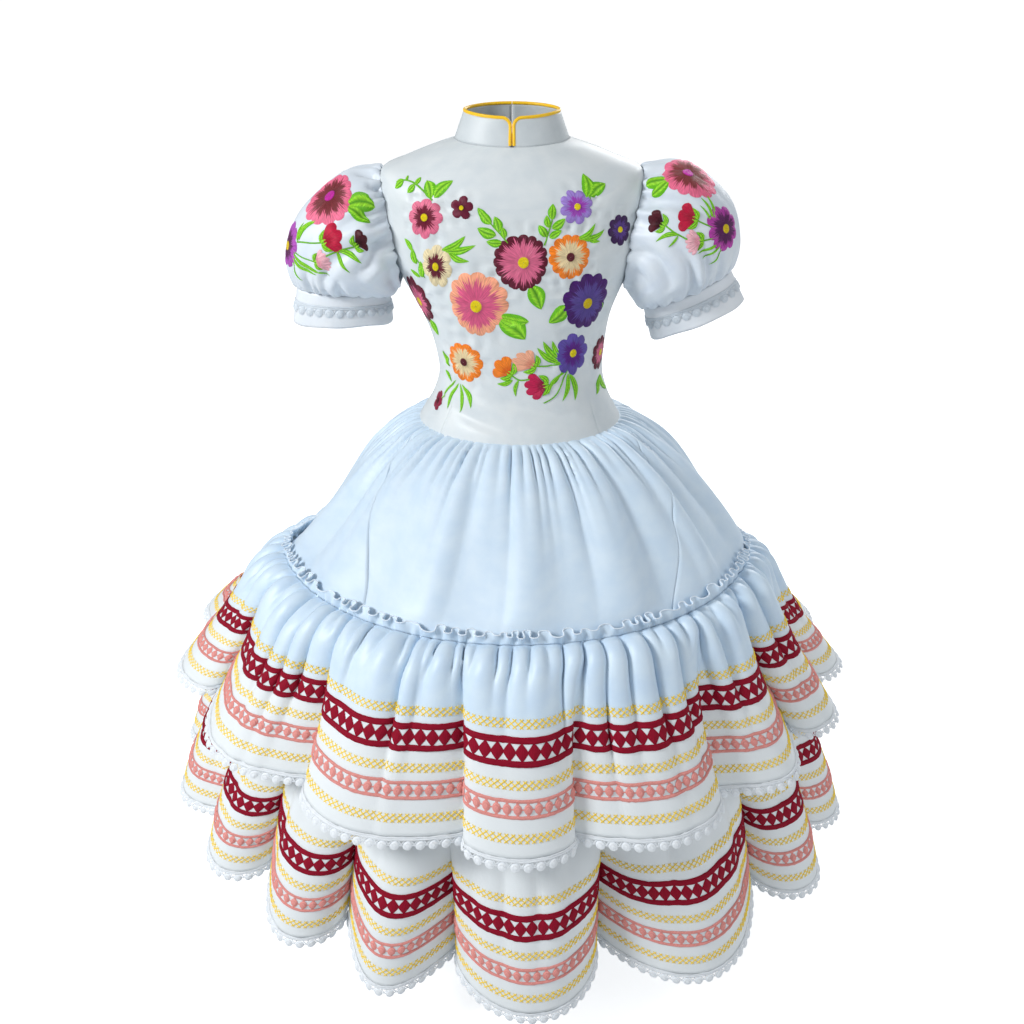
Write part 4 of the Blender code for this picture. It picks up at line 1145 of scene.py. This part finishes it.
# %% Cross-stitch rows
# Each thread runs aslant over one and a half crosses, so that neighbours cross each other twice.
CROSS, CROSS_HEIGHT, THREAD = 6.9 * MM, 9.4 * MM, 1.15 * MM
run = np.linspace(-0.76, 0.76, 4) * CROSS
fall = np.linspace(-0.5, 0.5, 4) * CROSS_HEIGHT
for tier in tiers:
    parts = []
    for place in DROPS[tier]["yellow"]:
        total, lay = on_ruffle(tier, place)
        for side, high in ((1, 0.75 * MM), (-1, 0.95 * MM)):
            parts.append(raised_threads(lay, repeated(total, CROSS) + run, place + side * fall,
                                        THREAD, 0.1 * MM, high))
    finished(joined("cross_stitch_" + tier, parts), yellow_thread, "yellow_thread")

# %% Ball lace
HEADER = np.array([(-0.6, 0.2), (0.0, 1.1), (0.8, 0.6), (2.2, 0.6), (3.0, 1.1), (3.8, 0.2)]) * MM
LACE_BARS = [   # from and to, as millimetres along and down from a ball's start
    ((4.4, 8.4), (8.4, 8.4)), ((3.2, 3.4), (6.2, 7.2)), ((6.6, 7.2), (9.6, 3.4))]


def ball_lace(lay, total, top, columns, size=1.0, backs=True, ball=4.8):
    """A tape with a ridge along each edge, flat balls in rings of thread under it, a bar from
    ball to ball, and a V of threads over each bar."""
    pitch, radius, middle = 12.8 * MM * size, ball * MM * size, top + 8.4 * MM * size
    low = 0.5 * MM
    parts = [bar(lay, total, top, HEADER * (size, 1), columns),
             bosses(lay, total, pitch, middle, radius, radius, low, tall=1.5 * MM, points=6,
                    power=2.0, ringed=True)]
    if backs:
        parts.append(bosses(lay, total, pitch, middle, radius, radius, low, tall=-1.1 * MM,
                            points=5, power=2.0, flip=True))
    for ends in LACE_BARS:
        along, down = np.array(ends).T * MM * size
        parts.append(raised_threads(lay, repeated(total, pitch) + along, top + down, 1.3 * MM,
                                    0.3 * MM, 1.1 * MM))
    return parts


for tier in tiers:
    deep = slope_lengths(tier)[1][-1]
    total, lay = on_ruffle(tier, deep)
    finished(joined("lace_%s_balls" % tier, ball_lace(lay, total, deep, 520)), lace_thread, "lace",
             "lace_" + tier)
for word in SIGN:
    total, lay, height = on_cuff(word)
    parts = ball_lace(lay, total, 0.34 * height, 160, 0.92, backs=False, ball=5.3)
    finished(joined("cuff_lace_%s_balls" % word, parts), cuff_lace_thread_painted_shade, "lace",
             "cuff_lace_" + word)

# %% [markdown]
# ## Embroidery
# The flowers are machine embroidery: long-and-short stitches from the centre outwards, slanted
# stitches on leaves, and a raised cord for each stem. In a picture they would look printed, so
# each motif is a thin raised mesh. It is drawn flat, in metres to the right and down from a point
# of the cloth. A small matrix, the chart, turns those metres into steps of the cloth's own two
# numbers, so the motif bends with the cloth. All motifs of a panel become one mesh, and each
# point carries the colours of its two threads.

# %% From flat motifs to the cloth
def chart(shape, across, down):
    """Columns: the metres right and down that one step of each of the cloth's numbers gives."""
    e = 0.02
    right = (shape(across + e, down) - shape(across - e, down)) / (2 * e)
    fall = (shape(across, down + e) - shape(across, down - e)) / (2 * e)
    first = right / np.linalg.norm(right)
    second = fall - (fall @ first) * first
    second /= np.linalg.norm(second)
    return np.array([[right @ first, fall @ first], [0.0, fall @ second]])


def thread_colour(code):
    """The red, green and blue of a thread."""
    return np.array(linear(code)[:3])


def tinted(code, count, seed):
    """One thread colour for each of a few parts of a motif, a little lighter or darker."""
    return thread_colour(code) * (1 + 0.16 * (np.random.default_rng(seed).random((count, 1)) - 0.5))


def laid(cloth, origin, x, y, lift, across_threads, along_threads, out, reach, outer, inner):
    """A motif on the cloth, which is a surface and its smooth form. x and y are metres right and
    down of the origin. Each point has a lift, UV lengths across and along its thread, how far
    out it is and how far the inner thread reaches there, and two colours."""
    surface, form = cloth
    steps = np.linalg.solve(chart(form, *origin), np.stack([x.ravel(), y.ravel()]))
    across, down = (origin[i] + steps[i].reshape(x.shape) for i in (0, 1))
    points = surface(across, down) + lift[..., None] * outward(form, across, down)
    uv = np.stack(np.broadcast_arrays(across_threads, along_threads), -1)
    way = np.stack(np.broadcast_arrays(across_threads, out, reach), -1)
    colours = [np.broadcast_to(colour, x.shape + (3,)) for colour in (outer, inner)]
    return points, uv, *colours, way

# %% Flowers
RINGS = np.array([0.015, 0.11, 0.185, 0.205, 0.32, 0.46, 0.6, 0.74, 0.86, 0.95, 1.0])[:, None]
GROUND, KNOT_RING, KNOT_HEIGHT, DOME_HEIGHT = 0.0002, 0.19, 0.0017, 0.0011


def scalloped(turned):
    """1 in the middle of a petal and 0 between two, by the petals that were passed."""
    return np.abs(np.cos(np.pi * turned)) ** 0.6


def flower(cloth, origin, radius, tall, petals, notch, reach, rim, inner, centre, turned):
    """Rings on a polar grid. The rim is a circle with a scallop for each petal, the height
    a low dome with a groove between petals, and the centre a raised knot."""
    degrees = np.linspace(0, 360, petals * 6 + 1)[None, :]
    petal = scalloped(petals * degrees / 360)
    size = radius * RINGS * (1 - notch * (1 - petal) * RINGS)
    sine, cosine = sines(degrees + turned)
    dome = (1 - RINGS ** 8) * (0.6 + 0.4 * RINGS) * (1 - 0.45 * RINGS * (1 - petal))
    knot = RINGS < KNOT_RING
    lift = np.where(knot, KNOT_HEIGHT, GROUND + DOME_HEIGHT * dome)
    of_petal = (np.round(petals * degrees[0] / 360) % petals).astype(int)
    outer, inside = (np.where(knot[..., None], thread_colour(centre), tinted(
        code, petals, 7 * petals + k)[of_petal]) for k, code in enumerate((rim, inner)))
    return laid(cloth, origin, size * cosine, -size * sine * tall, lift,
                np.radians(degrees) * radius * 0.6, size, RINGS, reach * (0.86 + 0.20 * petal),
                outer, inside)

# %% Leaves
LEAF, LIGHT_LEAF, MIDRIB, STEM, LIGHT_STEM = (
    thread_colour(code) for code in ("6CC416", "A2EA32", "4C9A12", "5CA81E", "78C81E"))


def blade(cloth, origin, way, width, bend, tall=0.0008, foot=(0.0, 0.0)):
    """A pointed oval from a foot, by a way in metres. width and bend are shares of its length.
    Its threads slant away from a sunk midrib."""
    length = np.linalg.norm(way)
    along = np.linspace(0, 1, 11)[:, None]
    across = np.linspace(-1, 1, 7)[None, :]
    side = np.array([way[1], -way[0]])
    half = width * np.maximum(np.sin(np.pi * along ** 0.85), 0) ** 0.8
    off = half * across + bend * np.sin(np.pi * along)
    x, y = (foot[i] + along * way[i] + off * side[i] for i in (0, 1))
    rib = np.exp(-(across / 0.22) ** 2)
    lift = GROUND + tall * (1 - across ** 4) * (1 - 0.75 * rib) * np.sin(np.pi * along) ** 0.3
    slant = length * along + 0.9 * np.abs(half * across) * length
    outer, inner = (np.where((rib > 0.9)[..., None], MIDRIB, green)
                    for green in (LEAF, LIGHT_LEAF))
    return laid(cloth, origin, x, y, lift, slant, half * across * length, np.abs(across), 0.55,
                outer, inner)


def leaf(cloth, foot, tip, width, bend):
    """A blade from its foot to its tip, both as the cloth's numbers."""
    return blade(cloth, foot, chart(cloth[1], *foot) @ (np.array(tip) - foot), width, bend)

# %% Stems
STEM_WIDTH, STEM_HEIGHT = 0.0017, 0.0007


def stem(cloth, path):
    """A raised cord through a few points, on a smooth curve."""
    path = np.array(path, float)
    origin = tuple(path[0])
    flat = (path - path[0]) @ chart(cloth[1], *origin).T
    line = between_rows(flat, np.linspace(0, len(path) - 1, 6 * len(path)))
    way = unit(np.gradient(line, axis=0))
    across = np.array([-1.0, 0.0, 1.0])[None, :]
    x = line[:, :1] + STEM_WIDTH / 2 * across * way[:, 1:]
    y = line[:, 1:] - STEM_WIDTH / 2 * across * way[:, :1]
    along = np.arange(len(line))[:, None] * 0.0012
    return laid(cloth, origin, x, y, GROUND + STEM_HEIGHT * (1 - across ** 2) + 0 * x,
                along + 0.0006 * across, across * STEM_WIDTH / 2, np.abs(across), 0.5, STEM,
                LIGHT_STEM)

# %% Buds
CALYX = [(-54, 0.66, 0.21), (54, 0.66, 0.21), (0, 0.40, 0.52)]      # degrees aside, length, width


def bud(cloth, middle, calyx, length, spread, petals, outer, inner):
    """A fan of petals that opens from a green cup with two horns, the calyx."""
    origin = tuple(np.array(calyx, float))
    way = unit(chart(cloth[1], *origin) @ (np.array(middle, float) - origin))
    share = np.linspace(0.1, 1, 9)[:, None]
    fan = np.linspace(spread, -spread, petals * 6 + 1)[None, :]
    petal = scalloped(petals * (fan / spread + 1 + 1 / petals) / 2)
    size = length * share * (1 - 0.16 * (1 - petal) * share) * (1 - 0.1 * (fan / spread) ** 2)
    sine, cosine = sines(fan)
    x = size * (cosine * way[0] + sine * way[1])
    y = size * (cosine * way[1] - sine * way[0])
    lift = GROUND + DOME_HEIGHT * (1 - share ** 8) * (1 - 0.4 * share * (1 - petal))
    motifs = [laid(cloth, origin, x, y, lift, np.radians(fan) * length * 0.7, size, share, 0.45,
                   thread_colour(outer), thread_colour(inner))]
    for turn, long, wide in CALYX:
        sine, cosine = sines(turn)
        aside = np.array([cosine * way[0] - sine * way[1], sine * way[0] + cosine * way[1]])
        motifs.append(blade(cloth, origin, aside * length * long, wide,
                            -0.0030 * np.sign(turn) / length, 0.0013, -0.0022 * way))
    return motifs

# %% All motifs of a panel as one mesh
def embroider(name, cloth, flowers, leaves, stems, buds):
    """Every motif on its cloth, with the colours and the stitch directions on the points."""
    motifs = [flower(cloth, (float(across), float(down)), *rest)
              for across, down, *rest in flowers]
    motifs += [leaf(cloth, (a, float(b)), (c, float(d)), *rest) for a, b, c, d, *rest in leaves]
    motifs += [stem(cloth, path) for path in stems]
    motifs += [motif for each in buds for motif in bud(cloth, *each)]
    piece = joined(name, [(points[None], uv[None]) for points, uv, *_ in motifs])
    for place, key in ((2, "outer_thread"), (3, "inner_thread"), (4, "stitch_way")):
        values = np.concatenate([motif[place].reshape(-1, 3) for motif in motifs])
        if key == "stitch_way":
            piece.data.attributes.new(key, "FLOAT_VECTOR", "POINT").data.foreach_set(
                "vector", values.ravel())
        else:
            values = np.hstack([values, np.ones((len(values), 1))])
            piece.data.attributes.new(key, "FLOAT_COLOR", "POINT").data.foreach_set(
                "color", values.ravel())
    finished(piece, embroidery_thread, "embroidery_thread")

# %% [markdown]
# ## Flowers of the bodice
# Common garden flowers: daisies, pansies and carnation buds, with sprigs of leaves. One function
# makes every flower from its number of petals, the notch between them and the reach of the inner
# thread, so a new flower is only a new row. The tables give each one's place as degrees round the
# bodice and level down it.

# %% Leaves of the bodice
SPRIGS = [
    # foot, tip, width, bend
    (-33.0, 3.00, -41.5, 2.45, 0.21, -0.10), (-31.5, 2.95, -28.0, 2.20, 0.23, 0.12),
    (-53.5, 2.78, -56.0, 3.15, 0.22, 0.00), (-45.5, 2.72, -46.8, 3.10, 0.20, 0.05),
    (-45.0, 2.72, -46.5, 2.42, 0.24, 0.00), (-54.0, 2.76, -57.5, 2.95, 0.20, 0.00),
    (-52.0, 2.74, -54.5, 2.55, 0.20, 0.00),
    (30.0, 2.90, 38.0, 2.05, 0.21, -0.10), (32.0, 2.90, 44.0, 2.65, 0.22, 0.10),
    (-6.0, 3.60, -10.5, 3.10, 0.20, 0.05), (-3.5, 3.90, -5.0, 3.30, 0.21, -0.06),
    (-1.8, 4.10, -2.5, 3.70, 0.22, 0.00), (-4.5, 4.00, -11.2, 3.78, 0.20, 0.06),
    (-2.5, 4.25, -8.0, 4.22, 0.18, 0.05), (-7.5, 3.45, -11.5, 3.02, 0.18, 0.00),
    (13.2, 3.50, 14.5, 2.90, 0.21, 0.05), (12.0, 3.78, 11.3, 3.30, 0.20, 0.05),
    (13.3, 3.82, 18.7, 3.50, 0.20, -0.05), (11.3, 4.10, 8.3, 3.65, 0.21, 0.00),
    (12.3, 4.12, 17.2, 3.90, 0.20, 0.00),
    (-27.5, 4.60, -16.0, 4.08, 0.11, -0.14), (-26.5, 4.60, -12.0, 4.35, 0.10, -0.10),
    (-24.5, 4.60, -15.3, 4.85, 0.11, -0.14),
    (-45.5, 4.80, -49.7, 4.50, 0.16, -0.08), (-45.5, 5.15, -45.0, 4.70, 0.17, 0.05),
    (-45.0, 5.50, -41.5, 5.02, 0.18, 0.00), (-46.5, 5.50, -52.0, 5.32, 0.14, 0.05),
    (23.5, 4.25, 33.0, 3.85, 0.09, -0.16), (25.5, 4.25, 38.5, 4.12, 0.08, -0.12),
    (28.0, 4.20, 36.0, 4.42, 0.09, -0.12),
    (5.5, 5.55, 10.8, 6.35, 0.25, 0.05), (-7.0, 6.60, 5.0, 6.78, 0.24, -0.10),
    (-7.0, 6.70, 3.0, 7.42, 0.24, 0.08), (24.5, 6.25, 15.3, 6.85, 0.24, 0.10),
    (-46.5, 9.05, -53.0, 10.20, 0.05, -0.12), (-45.5, 9.05, -41.5, 10.20, 0.05, 0.10),
    (-43.5, 9.05, -32.5, 9.90, 0.07, 0.16), (-48.5, 8.95, -63.5, 9.95, 0.03, -0.10),
    (25.5, 8.30, 9.0, 7.72, 0.08, 0.12), (25.5, 8.25, 12.5, 7.50, 0.08, 0.10),
    (25.5, 8.22, 18.2, 7.50, 0.07, 0.06), (29.0, 8.55, 16.5, 9.25, 0.05, -0.18),
    (30.5, 8.60, 26.0, 9.55, 0.06, 0.10), (31.5, 8.60, 36.0, 9.60, 0.07, 0.14),
    (-4.0, 8.72, -14.0, 8.86, 0.11, 0.12), (-1.0, 8.72, -2.8, 9.28, 0.09, -0.12),
    (-62.0, 7.05, -59.0, 7.62, 0.24, 0.00), (70.0, 9.00, 59.5, 9.65, 0.14, 0.10),
    (71.0, 9.00, 83.5, 9.80, 0.12, -0.10), (-62.0, 8.75, -55.5, 9.10, 0.16, 0.10),
    (-60.0, 8.15, -55.0, 8.60, 0.14, 0.00), (50.0, 6.30, 54.5, 6.55, 0.20, 0.00),
]
print(len(SPRIGS), "leaves on the bodice")

# %% Stems and buds of the bodice, and its embroidery
STEMS = [
    [(-32.0, 3.05), (-38.0, 2.85), (-44.5, 2.72), (-50.0, 2.70), (-55.0, 2.78)],
    [(31.5, 3.00), (32.5, 2.75), (34.0, 2.55)],
    [(-1.0, 4.25), (-3.0, 3.98), (-5.5, 3.68), (-8.0, 3.40)],
    [(10.4, 4.35), (12.0, 3.95), (13.3, 3.50)],
    [(-43.5, 5.50), (-43.0, 5.15), (-45.0, 4.80), (-47.5, 4.62)],
    [(25.5, 8.30), (16.0, 8.33), (6.5, 8.32)],
    [(26.0, 8.55), (21.0, 8.85), (14.5, 8.92)],
    [(4.5, 8.70), (-1.0, 8.72), (-6.0, 8.50)],
    [(30.0, 8.50), (22.0, 9.25), (13.0, 9.55)],
]
BUDS = [
    # middle, calyx, length, half spread, petals, outer, inner
    ((-11.0, 8.30), (-5.0, 8.55), 0.0225, 55, 3, "F58220", "E8680E"),
    ((2.2, 8.15), (7.6, 8.32), 0.0225, 52, 4, "F2AE8E", "E89478"),
    ((9.3, 8.95), (15.0, 8.90), 0.0225, 56, 4, "C2184E", "9C0E3C"),
]
embroider("bodice_embroidery", (bodice, torso), FLOWERS,
          [(*ends, 1.3 * width, bend) for *ends, width, bend in SPRIGS], STEMS, BUDS)

# %% Motifs of the sleeves
# Places are rings along the puff and degrees round it, and the right sleeve counts its rings
# backwards.
SLEEVE_WORK = {
    "right": {
        "flowers": [
            (-2.28, 33, 0.0335, 1.0, 12, 0.10, 0.66, "EE6F92", "7A2A30", "D828B0", 0),
            (-3.62, 20, 0.0255, 1.0, 9, 0.16, 0.60, "B050B8", "5A1050", "F0D000", 10)],
        "leaves": [
            (-2.02, 52, -0.86, 62, 0.24, 0.08), (-2.02, 53, -1.22, 74, 0.24, -0.05),
            (-3.34, 38, -2.92, 34, 0.07, 0.12), (-3.34, 38, -2.74, 42, 0.07, 0.13),
            (-3.30, 40, -2.62, 47, 0.07, 0.14), (-2.72, 78, -2.38, 102, 0.11, 0.08),
            (-2.72, 78, -2.92, 100, 0.10, -0.10), (-3.68, 32, -3.80, 71, 0.06, -0.10),
            (-3.66, 34, -4.30, 52, 0.05, -0.10), (-3.62, 34, -3.62, 84, 0.05, -0.08)],
        "stems": [[(-3.34, 38), (-3.10, 54), (-2.86, 64)], [(-3.05, 74), (-2.60, 81), (-2.30, 86)],
                  [(-3.58, 36), (-3.54, 52), (-3.44, 66)]],
        "buds": [((-2.60, 68), (-2.84, 65), 0.0225, 62, 3, "C4123E", "B00C34"),
                 ((-1.95, 86), (-2.22, 86), 0.0185, 56, 3, "4E0A1C", "3A0614"),
                 ((-3.20, 76), (-3.42, 67), 0.0180, 60, 6, "F7B9C4", "F4A4B4")],
    },
    "left": {
        "flowers": [
            (1.94, 27, 0.0290, 1.0, 12, 0.10, 0.66, "EE6F92", "8A3A3C", "E030C0", 0),
            (3.20, 46, 0.0240, 1.0, 9, 0.18, 0.66, "B83CA8", "5A1058", "F0D000", 10)],
        "leaves": [
            (1.50, 38, 0.55, 43, 0.24, -0.06), (1.50, 39, 0.92, 52, 0.24, 0.05),
            (2.85, 52, 2.42, 38, 0.055, -0.10), (2.84, 54, 2.35, 44, 0.06, -0.12),
            (2.84, 56, 2.40, 50, 0.055, -0.10), (2.25, 80, 1.60, 92, 0.10, -0.08),
            (2.25, 80, 2.15, 92, 0.09, 0.10), (3.30, 56, 3.00, 80, 0.06, 0.10),
            (3.38, 54, 3.30, 78, 0.05, 0.08), (3.48, 54, 3.70, 72, 0.05, 0.08)],
        "stems": [[(2.90, 56), (2.66, 60), (2.48, 62)], [(2.58, 78), (2.10, 80), (1.72, 78)],
                  [(3.15, 58), (2.98, 66), (2.88, 70)]],
        "buds": [((2.28, 64), (2.46, 62), 0.0225, 62, 3, "C4123E", "B00C34"),
                 ((1.38, 76), (1.66, 78), 0.0185, 56, 3, "4E0A1C", "3A0614"),
                 ((2.72, 76), (2.86, 71), 0.0180, 60, 6, "F7B9C4", "F4A4B4")],
    },
}
for word, motifs in SLEEVE_WORK.items():
    embroider("sleeve_embroidery_" + word, (puff(word), puff_form(word)), *motifs.values())

# %% [markdown]
# ## Zip
# A concealed zip is sewn behind the seam of the two backs. Its tapes lie flat against the inner
# side of the cloth, and its closed coil stands a little further in. The teeth could be made one
# by one, but so little of them shows that both tapes and the coil are one strip that swells in
# the middle.

# %% Zip tapes and coil
ZIP_HALF_WIDTH, ZIP_DEPTH, COIL_HEIGHT, COIL_TURNS = 0.011, 0.0030, 0.0006, 40
zip_level = np.linspace(0.25, 9.0, 120)[:, None]
zip_share = np.array([-1.0, -0.6, -0.25, -0.12, 0.0, 0.12, 0.25, 0.6, 1.0])[None, :]
sixteen_degrees = np.linalg.norm(torso(188.0, zip_level) - torso(172.0, zip_level), axis=-1)
zip_angle = 180.0 + 16.0 * ZIP_HALF_WIDTH / sixteen_degrees * zip_share
coil = np.where(np.abs(zip_share) < 0.2, COIL_HEIGHT * np.abs(np.sin(zip_level * COIL_TURNS)), 0)
tape = torso(zip_angle, zip_level) - (ZIP_DEPTH - 0.5 * coil)[..., None] * outward(
    torso, zip_angle, zip_level)
cloth_piece("zip_back_tapes", tape, 0.0008, zip_tape, "zip_tape", "zip_back")

# %% [markdown]
# ## What each piece is cut from
# The skirt's panels and the ruffles are plain strips, gathered on two threads: the skirt to about
# a third of its width at the waist, the ruffles to between three fifths and two thirds. The
# bodice is cut to shape, so its area is less than that of the rectangle round it. A sleeve or
# cuff is stated as the whole strip that goes round the arm.

# %% Cuts of the cloth
SKIRT_CLOTHS = ["skirt_%s_cloth" % word for word in ("front", "side_left", "back", "side_right")]
BODICE_CLOTHS = ["bodice_%s_cloth" % word for word in ("front", "back_left", "back_right")]
RUFFLE_TRIMS = ["band_red_%s_guipure", "band_pink_%s_guipure", "cross_stitch_%s", "lace_%s_balls"]
CUTS = [
    # piece, width, length, flat area where it is no rectangle, how it is held, what it hangs from,
    # and what is sewn on it
    ("bodice_front_cloth", 0.35, 0.385, 0.104, "stretched", [], ["bodice_embroidery"]),
    *((name, 0.18, 0.385, 0.052, "stretched", [], []) for name in BODICE_CLOTHS[1:]),
    *(("collar_%s_cloth" % word, 0.165, 0.029, None, "stretched", BODICE_CLOTHS,
       ["piping_%s_cord" % word]) for word in SIGN),
    *(("sleeve_%s_cloth" % word, 0.45, length, None, "gathered", BODICE_CLOTHS,
       ["sleeve_embroidery_" + word]) for word, length in (("left", 0.132), ("right", 0.126))),
    *(("cuff_%s_cloth" % word, 0.29, 0.038, None, "stretched", ["sleeve_%s_cloth" % word],
       ["cuff_lace_%s_balls" % word]) for word in SIGN),
    *((name, *size, None, "gathered", BODICE_CLOTHS, []) for name, size in zip(
        SKIRT_CLOTHS, ((0.44, 0.440), (0.52, 0.405), (0.44, 0.430), (0.52, 0.405)))),
    ("zip_back_tapes", 0.024, 0.262, None, "laid", BODICE_CLOTHS[1:], []),
    ("ruffle_upper_frill", 2.40, 0.0135, None, "gathered", SKIRT_CLOTHS, ["frill_overlocked_edge"]),
    *(("ruffle_%s_cloth" % tier, width, length, None, "gathered", SKIRT_CLOTHS,
       [trim % tier for trim in RUFFLE_TRIMS])
      for tier, width, length in (("upper", 2.95, 0.200), ("lower", 3.00, 0.205))),
]
for name, width, length, area, held, hangs_from, sewn_on in CUTS:
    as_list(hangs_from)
    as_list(sewn_on)
print(len(CUTS), "pieces of cloth, cut from",
      round(sum(width * length for _, width, length, *_ in CUTS), 2), "square metres")

# %% [markdown]
# ## Stage, light and camera
# A plain pale floor, a soft light from the upper left as in the photograph, weaker ones from the
# right and from behind, and an even white sky. Floor and sky look brighter to the camera than
# they shine on the dress, so the paper stays white and the cloth keeps its shading.

# %% Floor and sky
FLOOR_LEVEL, FLOOR_HALF = -0.93, 40      # metres
places = np.linspace(-FLOOR_HALF, FLOOR_HALF, 3)
right, back = np.meshgrid(places, places[::-1])
floor = sheet_of("floor", np.stack([right, back, np.full((3, 3), FLOOR_LEVEL)], -1))
paper = bpy.data.materials.new("pale_floor")
paper.use_nodes = True
seen = node(paper.node_tree, "LightPath").outputs["Is Camera Ray"]
fill(paper.node_tree.nodes["Principled BSDF"], {
    "Base Color": linear("E4E6E8"), "Roughness": 0.9, "Emission Color": (1, 1, 1, 1),
    "Emission Strength": maths("MULTIPLY", seen, 0.75)})
floor.data.materials.append(paper)
sky = bpy.data.worlds.new("soft_sky")
sky.use_nodes = True
seen = node(sky.node_tree, "LightPath").outputs["Is Camera Ray"]
fill(sky.node_tree.nodes["Background"], {
    "Color": (0.94, 0.97, 1.0, 1.0),
    "Strength": maths("ADD", maths("MULTIPLY", seen, 0.6), 0.4)})
bpy.context.scene.world = sky
print("floor and sky are ready")

# %% Lights and camera
DRESS_MIDDLE = np.array([0, 0, -0.45])
LIGHTS = [   # name, place, watts, metres across
    ("key", (-2.3, -1.4, 1.3), 72.0, 0.8), ("fill", (2.5, -1.2, 0.5), 17.0, 1.6),
    ("rear", (1.3, 2.6, 1.0), 44.0, 1.6)]
for name, place, watts, size in LIGHTS:
    lamp = bpy.data.lights.new(name, "AREA")
    lamp.energy, lamp.size = watts, size
    light = bpy.data.objects.new(name, lamp)
    light.location = place
    way = DRESS_MIDDLE - place
    light.rotation_euler = (np.arctan2(np.hypot(way[0], way[1]), -way[2]), 0,
                            np.arctan2(way[1], way[0]) - np.pi / 2)
    bpy.context.scene.collection.objects.link(light)
view = bpy.data.cameras.new("camera")
view.lens, view.sensor_width, view.clip_end = 41.8, 36.0, 200.0
camera = bpy.data.objects.new("camera", view)
camera.location, camera.rotation_euler = (0, -1.30, 0.17), (np.radians(65.0), 0, 0)
bpy.context.scene.collection.objects.link(camera)
bpy.context.scene.camera = camera
bpy.context.scene.view_settings.view_transform = "Standard"
print(len(LIGHTS), "lights and a camera are ready")
